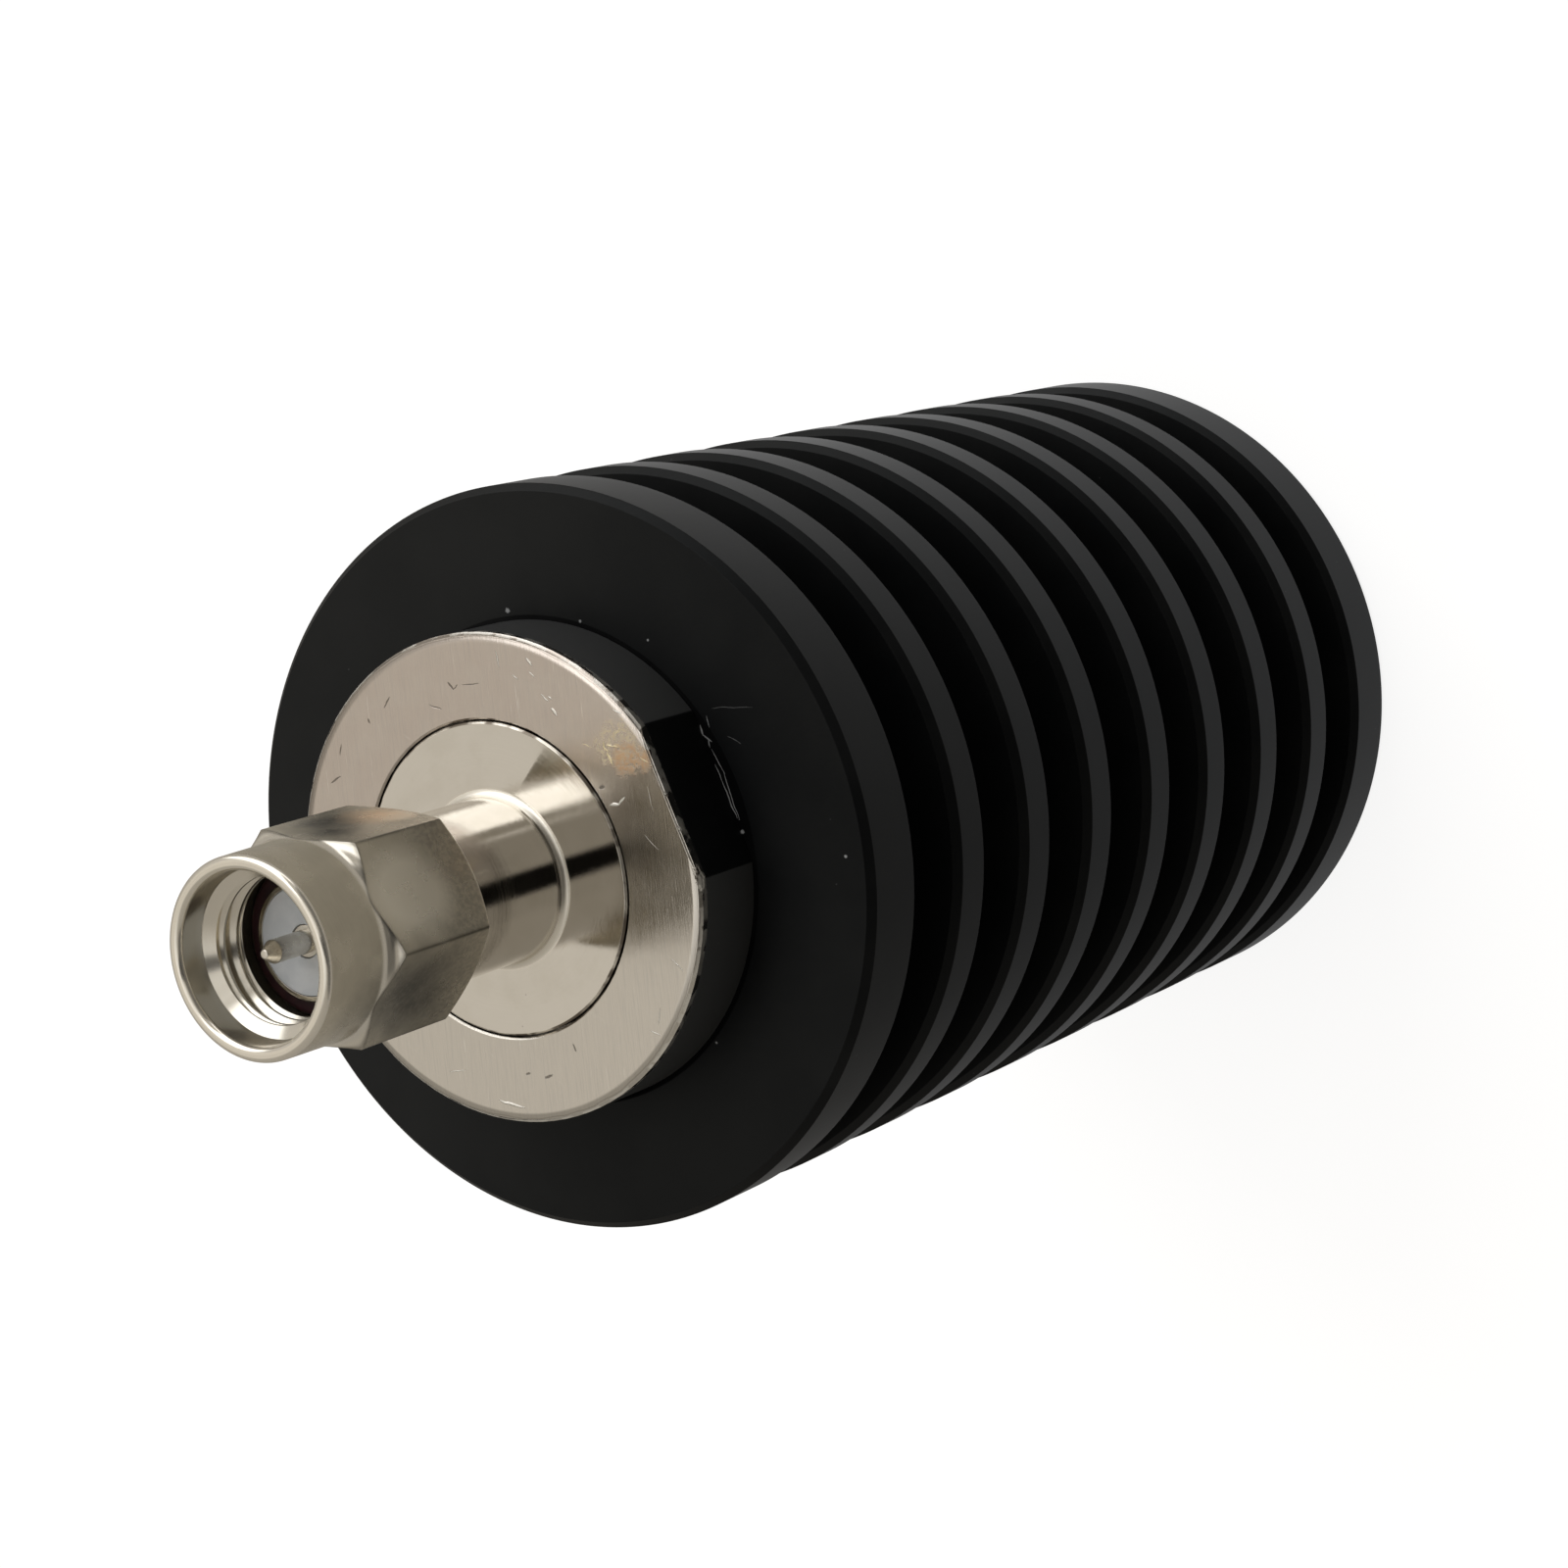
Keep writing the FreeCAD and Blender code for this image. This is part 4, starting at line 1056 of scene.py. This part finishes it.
def make_heat_sink():
    """Spins the outline, and pulls the hub in to its two flats."""
    outline = rounded(heat_sink_outline())
    radius, height = outline[:, :1], outline[:, 1:]
    corner = math.acos(FLAT_X / PLATE_RADIUS)
    angle = full_turn(320, (corner, -corner, math.pi - corner, math.pi + corner))[None]
    hub = (radius > ROOT_RADIUS_MM) & (radius < PLATE_RADIUS + TINY) & (height > FIN_FACE_Z - TINY)
    depth = PLATE_RADIUS - FLAT_X
    flat = (radius - depth) / np.maximum(np.abs(np.cos(angle)), 0.1)
    piece = grid_piece("fins_and_hub", np.where(hub, np.minimum(radius, flat), radius), angle, height)
    dress_piece(piece, BLACK_ANODISED, "root", "black_anodised", "heat_sink")


make_heat_sink()

# %% [markdown]
# The connector's body is turned from one bar: a round flange that sits in the plate with a hairline
# joint round it, a polished neck, and the thin tube that the nut turns on. Only its outline is
# needed, with a small cove where the neck meets the flange.

# %% Connector body
NECK_Z = NUT_Z - 0.10
TUBE_RADIUS = 2.62
SHELL_RADIUS = 2.37
AIR_RADIUS = 1.46
RING_PLAY = 0.03
RING_TRAVEL = 0.38
NECK_BEVEL = 0.20
LIP_BEVEL = 0.08


def make_connector_body():
    """Spins the outline of the flange, neck, tube and outer contact."""
    corners = [
        (AIR_RADIUS, FLANGE_Z),
        (FLANGE_RADIUS, FLANGE_Z),
        (FLANGE_RADIUS, PLATE_Z - LIP_BEVEL, 0.02),
        (FLANGE_RADIUS - LIP_BEVEL, PLATE_Z, 0.03),
        (NECK_RADIUS, PLATE_Z, COVE),
        (NECK_RADIUS, NECK_Z - NECK_BEVEL, 0.03),
        (NECK_RADIUS - NECK_BEVEL, NECK_Z, 0.03),
        (TUBE_RADIUS, NECK_Z),
        (TUBE_RADIUS, RING_Z - RING_PLAY),
        (SHELL_RADIUS, RING_Z - RING_PLAY),
        (SHELL_RADIUS, RING_TOP_Z + RING_TRAVEL),
        (TUBE_RADIUS, RING_TOP_Z + RING_TRAVEL),
        (TUBE_RADIUS, GASKET_Z),
        (SHELL_RADIUS, GASKET_Z),
        (SHELL_RADIUS, REFERENCE_Z - LIP_BEVEL, 0.02),
        (SHELL_RADIUS - LIP_BEVEL, REFERENCE_Z, 0.02),
        (INSULATOR_RADIUS + 0.02, REFERENCE_Z, 0.01),
        (INSULATOR_RADIUS + 0.02, INSULATOR_Z),
        (AIR_RADIUS, INSULATOR_Z),
    ]
    turned_piece("connector_shell", corners, 5, 256, NICKEL_POLISHED, "nickel_polished", "connector_body")


make_connector_body()

# %% [markdown]
# The nut starts as a turned blank with a cone behind and a hollow sweep in front, and six flats are
# then milled on it. Where a flat meets the sweep it leaves a curve, lowest at the corners. Here each
# column of the surface knows how far out its flat lies, and the rows stop exactly where the turned
# form comes in to that distance, so the edge is crisp. Inside, the thread is a helix: the radius
# depends on height / pitch - angle / full turn.

# %% Coupling nut
NUT_CORNER_TURN = 34.4
NUT_CORNER_ROUND = 0.14
NUT_EDGE_BREAK = 0.11
NUT_ENVELOPE = 4.65
NUT_COLLAR = 3.95
NUT_LIP = 3.92
NUT_HEX_LENGTH = 5.51
NUT_BLEND_LENGTH = 0.73
NUT_REAR_BEVEL = 0.79
NUT_REAR_BEVEL_HEIGHT = 0.57
NUT_REAR_WALL = 3.35
NUT_LIP_ROUND = 0.26
NUT_MOUTH_DEPTH = 1.20
NUT_MOUTH_FOOT = 0.35
NUT_MOUTH_TAPER = 0.06
NUT_LEAD_IN = 0.28
NUT_BORE = 2.70
THREAD_MINOR = 2.82
THREAD_MAJOR = 3.175
THREAD_PITCH = 25.4 / 36
THREAD_FLAT = 0.14
THREAD_FLANK = 0.66
THREAD_FADE = 0.25
RELIEF_RADIUS = 3.25
NUT_RELIEF = 2.45
RING_GROOVE_RADIUS = 3.10
CORNER_SHADE_WIDTH = 0.07
SWEEP_SHADE_WIDTH = 0.06


def hexagon_radius(angle):
    """Distance to a hexagon with slightly round corners, by angle from its nearest corner.

    On a flat it is apothem / cos(angle from the flat's middle). Near a corner it is the far
    crossing of the ray with the rounding's circle, whose centre lies on the corner's line.
    """
    sector = math.radians(60)
    from_corner = (angle - math.radians(NUT_CORNER_TURN) + sector / 2) % sector - sector / 2
    flat = NUT_APOTHEM / np.cos(sector / 2 - np.abs(from_corner))
    centre = (NUT_APOTHEM - NUT_CORNER_ROUND) / math.cos(sector / 2)
    inside = np.maximum(NUT_CORNER_ROUND ** 2 - (centre * np.sin(from_corner)) ** 2, 0)
    corner = centre * np.cos(from_corner) + np.sqrt(inside)
    return np.where(np.abs(from_corner) < touch_angle(), corner, flat)


def touch_angle():
    """The angle from a corner at which its rounding runs into the flat."""
    centre = (NUT_APOTHEM - NUT_CORNER_ROUND) / math.cos(math.radians(30))
    across = NUT_CORNER_ROUND * math.sin(math.radians(30))
    return math.atan2(across, centre + NUT_CORNER_ROUND * math.cos(math.radians(30)))


def thread_radius(height, angle, low, high):
    """A triangle wave along the helix, with flat crests and roots, that fades out at both ends."""
    wave = np.abs(2 * ((height / THREAD_PITCH - angle / (2 * math.pi)) % 1.0) - 1)
    depth = np.clip((wave - THREAD_FLAT) / THREAD_FLANK, 0, 1)
    fade = np.clip((high - height) / THREAD_FADE, 0, 1) * np.clip((height - low) / THREAD_FADE, 0, 1)
    return THREAD_MINOR + (THREAD_MAJOR - THREAD_MINOR) * depth * fade


def make_nut():
    """Stacks the rows of the nut's surface, from the rear bore over the outside and back inside."""
    corners = np.radians(NUT_CORNER_TURN + 60 * np.arange(6))
    near = np.array([-1, -0.5, 0, 0.5, 1]) * touch_angle()
    angle = full_turn(240, (corners[:, None] + near).ravel())
    hexagon = hexagon_radius(angle)
    hex_top = NUT_Z + NUT_HEX_LENGTH
    blend_top = hex_top + NUT_BLEND_LENGTH
    rise = NUT_ENVELOPE - NUT_COLLAR
    sweep = (rise ** 2 + NUT_BLEND_LENGTH ** 2) / (2 * rise)
    rear = NUT_ENVELOPE - NUT_REAR_BEVEL
    cone_slope = NUT_REAR_BEVEL_HEIGHT / NUT_REAR_BEVEL
    cone_top = NUT_Z + (hexagon - rear) * cone_slope
    blend_low = blend_top - np.sqrt(sweep ** 2 - (NUT_COLLAR + sweep - hexagon) ** 2)
    bend = np.linspace(0, 1, 7)[:, None]
    along_cone = NUT_EDGE_BREAK / math.hypot(1, cone_slope)
    edge_radius = hexagon - along_cone * (1 - bend) ** 2
    edge_height = cone_top - along_cone * cone_slope * (1 - bend) ** 2 + NUT_EDGE_BREAK * bend ** 2
    share = np.concatenate([[0.012, 0.03], np.linspace(0.08, 0.92, 9), [0.97, 0.988, 1]])[:, None]
    cone_radius = rear * np.ones((1, len(angle)))
    flats_foot = cone_top + NUT_EDGE_BREAK
    flats_height = np.concatenate([edge_height, flats_foot + (blend_low - flats_foot) * share])
    flats_radius = np.concatenate([edge_radius, hexagon * np.ones_like(share)])
    swept = np.arccos((NUT_COLLAR + sweep - hexagon) / sweep) * (1 - np.linspace(0, 1, 17)[1:, None])
    sweep_height = blend_top - sweep * np.sin(swept)
    sweep_radius = NUT_COLLAR + sweep - sweep * np.cos(swept)
    mouth_floor = NUT_FRONT_Z - NUT_MOUTH_DEPTH
    thread_high = mouth_floor - NUT_LEAD_IN
    wall_z = NUT_Z + NUT_REAR_WALL
    relief_z = wall_z + NUT_RELIEF
    thread_low = relief_z + (RELIEF_RADIUS - THREAD_MINOR)
    mouth = rounded([
        (NUT_COLLAR, blend_top),
        (NUT_LIP, NUT_FRONT_Z, NUT_LIP_ROUND),
        (NUT_MOUTH, NUT_FRONT_Z, NUT_LIP_ROUND),
        (NUT_MOUTH, mouth_floor + NUT_MOUTH_FOOT),
        (NUT_MOUTH - NUT_MOUTH_TAPER, mouth_floor, 0.03),
        (THREAD_MINOR, thread_high),
    ], 8)[1:-1]
    thread_height = np.linspace(thread_high, thread_low, 190)[:, None]
    thread = thread_radius(thread_height, angle, thread_low, thread_high)
    inside = np.array([
        (RELIEF_RADIUS, relief_z),
        (RELIEF_RADIUS, wall_z),
        (NUT_BORE, wall_z),
        (NUT_BORE, RING_TOP_Z + RING_PLAY),
        (RING_GROOVE_RADIUS, RING_TOP_Z + RING_PLAY),
        (RING_GROOVE_RADIUS, RING_Z - RING_PLAY),
        (NUT_BORE, RING_Z - RING_PLAY),
        (NUT_BORE, NUT_Z),
    ])
    sector = math.radians(60)
    from_corner = np.abs((angle - corners[0] + sector / 2) % sector - sector / 2) * NUT_ENVELOPE
    side_height = np.concatenate([flats_height, sweep_height])
    on_flat = side_height <= blend_low + 1e-6
    # Widths of the painted shade at the corners and along the foot of the sweep.
    corner_shade = np.exp(-(from_corner / CORNER_SHADE_WIDTH) ** 2) * on_flat
    side_edge = np.maximum(corner_shade, np.exp(-((side_height - blend_low) / SWEEP_SHADE_WIDTH) ** 2))
    around = np.ones((1, len(angle)))
    radius = np.concatenate([cone_radius, flats_radius, sweep_radius, mouth[:, :1] * around, thread,
                             inside[:, :1] * around])
    height = np.concatenate([NUT_Z * around, flats_height, sweep_height, mouth[:, 1:] * around,
                             thread_height * around, inside[:, 1:] * around])
    edge = np.zeros_like(height)
    edge[1:1 + len(side_edge)] = side_edge
    piece = grid_piece("hexagon_nut", radius, angle[None], height, sharp=24.0, edge=edge)
    dress_piece(piece, NICKEL_NUT, "nut", "nickel_nut", "coupling_nut")


make_nut()

# %% [markdown]
# In the nut's mouth sit the white insulator, the seal and the pin. The pin is the front end of one
# long rod that runs back to the resistor. Its tip tapers to a small round end.

# %% Insulator, seal and centre contact
PIN_RADIUS = 0.455
PIN_TAPER = 0.50
PIN_TIP_RADIUS = 0.17
MOUTH_PLAY = 0.02


def make_mouth_pieces():
    """Spins the insulator's, the seal's and the contact's outlines."""
    hole = CONTACT_RADIUS + MOUTH_PLAY
    turned_piece("white_insulator", [
        (hole, INSULATOR_Z), (INSULATOR_RADIUS, INSULATOR_Z),
        (INSULATOR_RADIUS, REFERENCE_Z, 0.03), (hole, REFERENCE_Z, 0.03),
    ], 4, 160, INSULATOR_WHITE, "insulator_white", "front_insulator")
    inner = SHELL_RADIUS + MOUTH_PLAY
    edge = (GASKET_RADIUS - inner) / 3
    turned_piece("seal_ring", [
        (inner, GASKET_Z), (GASKET_RADIUS, GASKET_Z),
        (GASKET_RADIUS, GASKET_TOP_Z, edge), (inner, GASKET_TOP_Z, 0.02),
    ], 6, 160, GASKET_RUBBER, "gasket_rubber", "gasket")
    shoulder = REFERENCE_Z - 0.05
    turned_piece("pin_and_rod", [
        (0, CONTACT_Z), (CONTACT_RADIUS, CONTACT_Z), (CONTACT_RADIUS, shoulder, 0.03),
        (PIN_RADIUS, shoulder), (PIN_RADIUS, PIN_TIP_Z - PIN_TAPER, 0.10),
        (PIN_TIP_RADIUS, PIN_TIP_Z - 0.02, 0.06), (0, PIN_TIP_Z),
    ], 6, 96, CONTACT_METAL, "contact_metal", "centre_contact")


make_mouth_pieces()
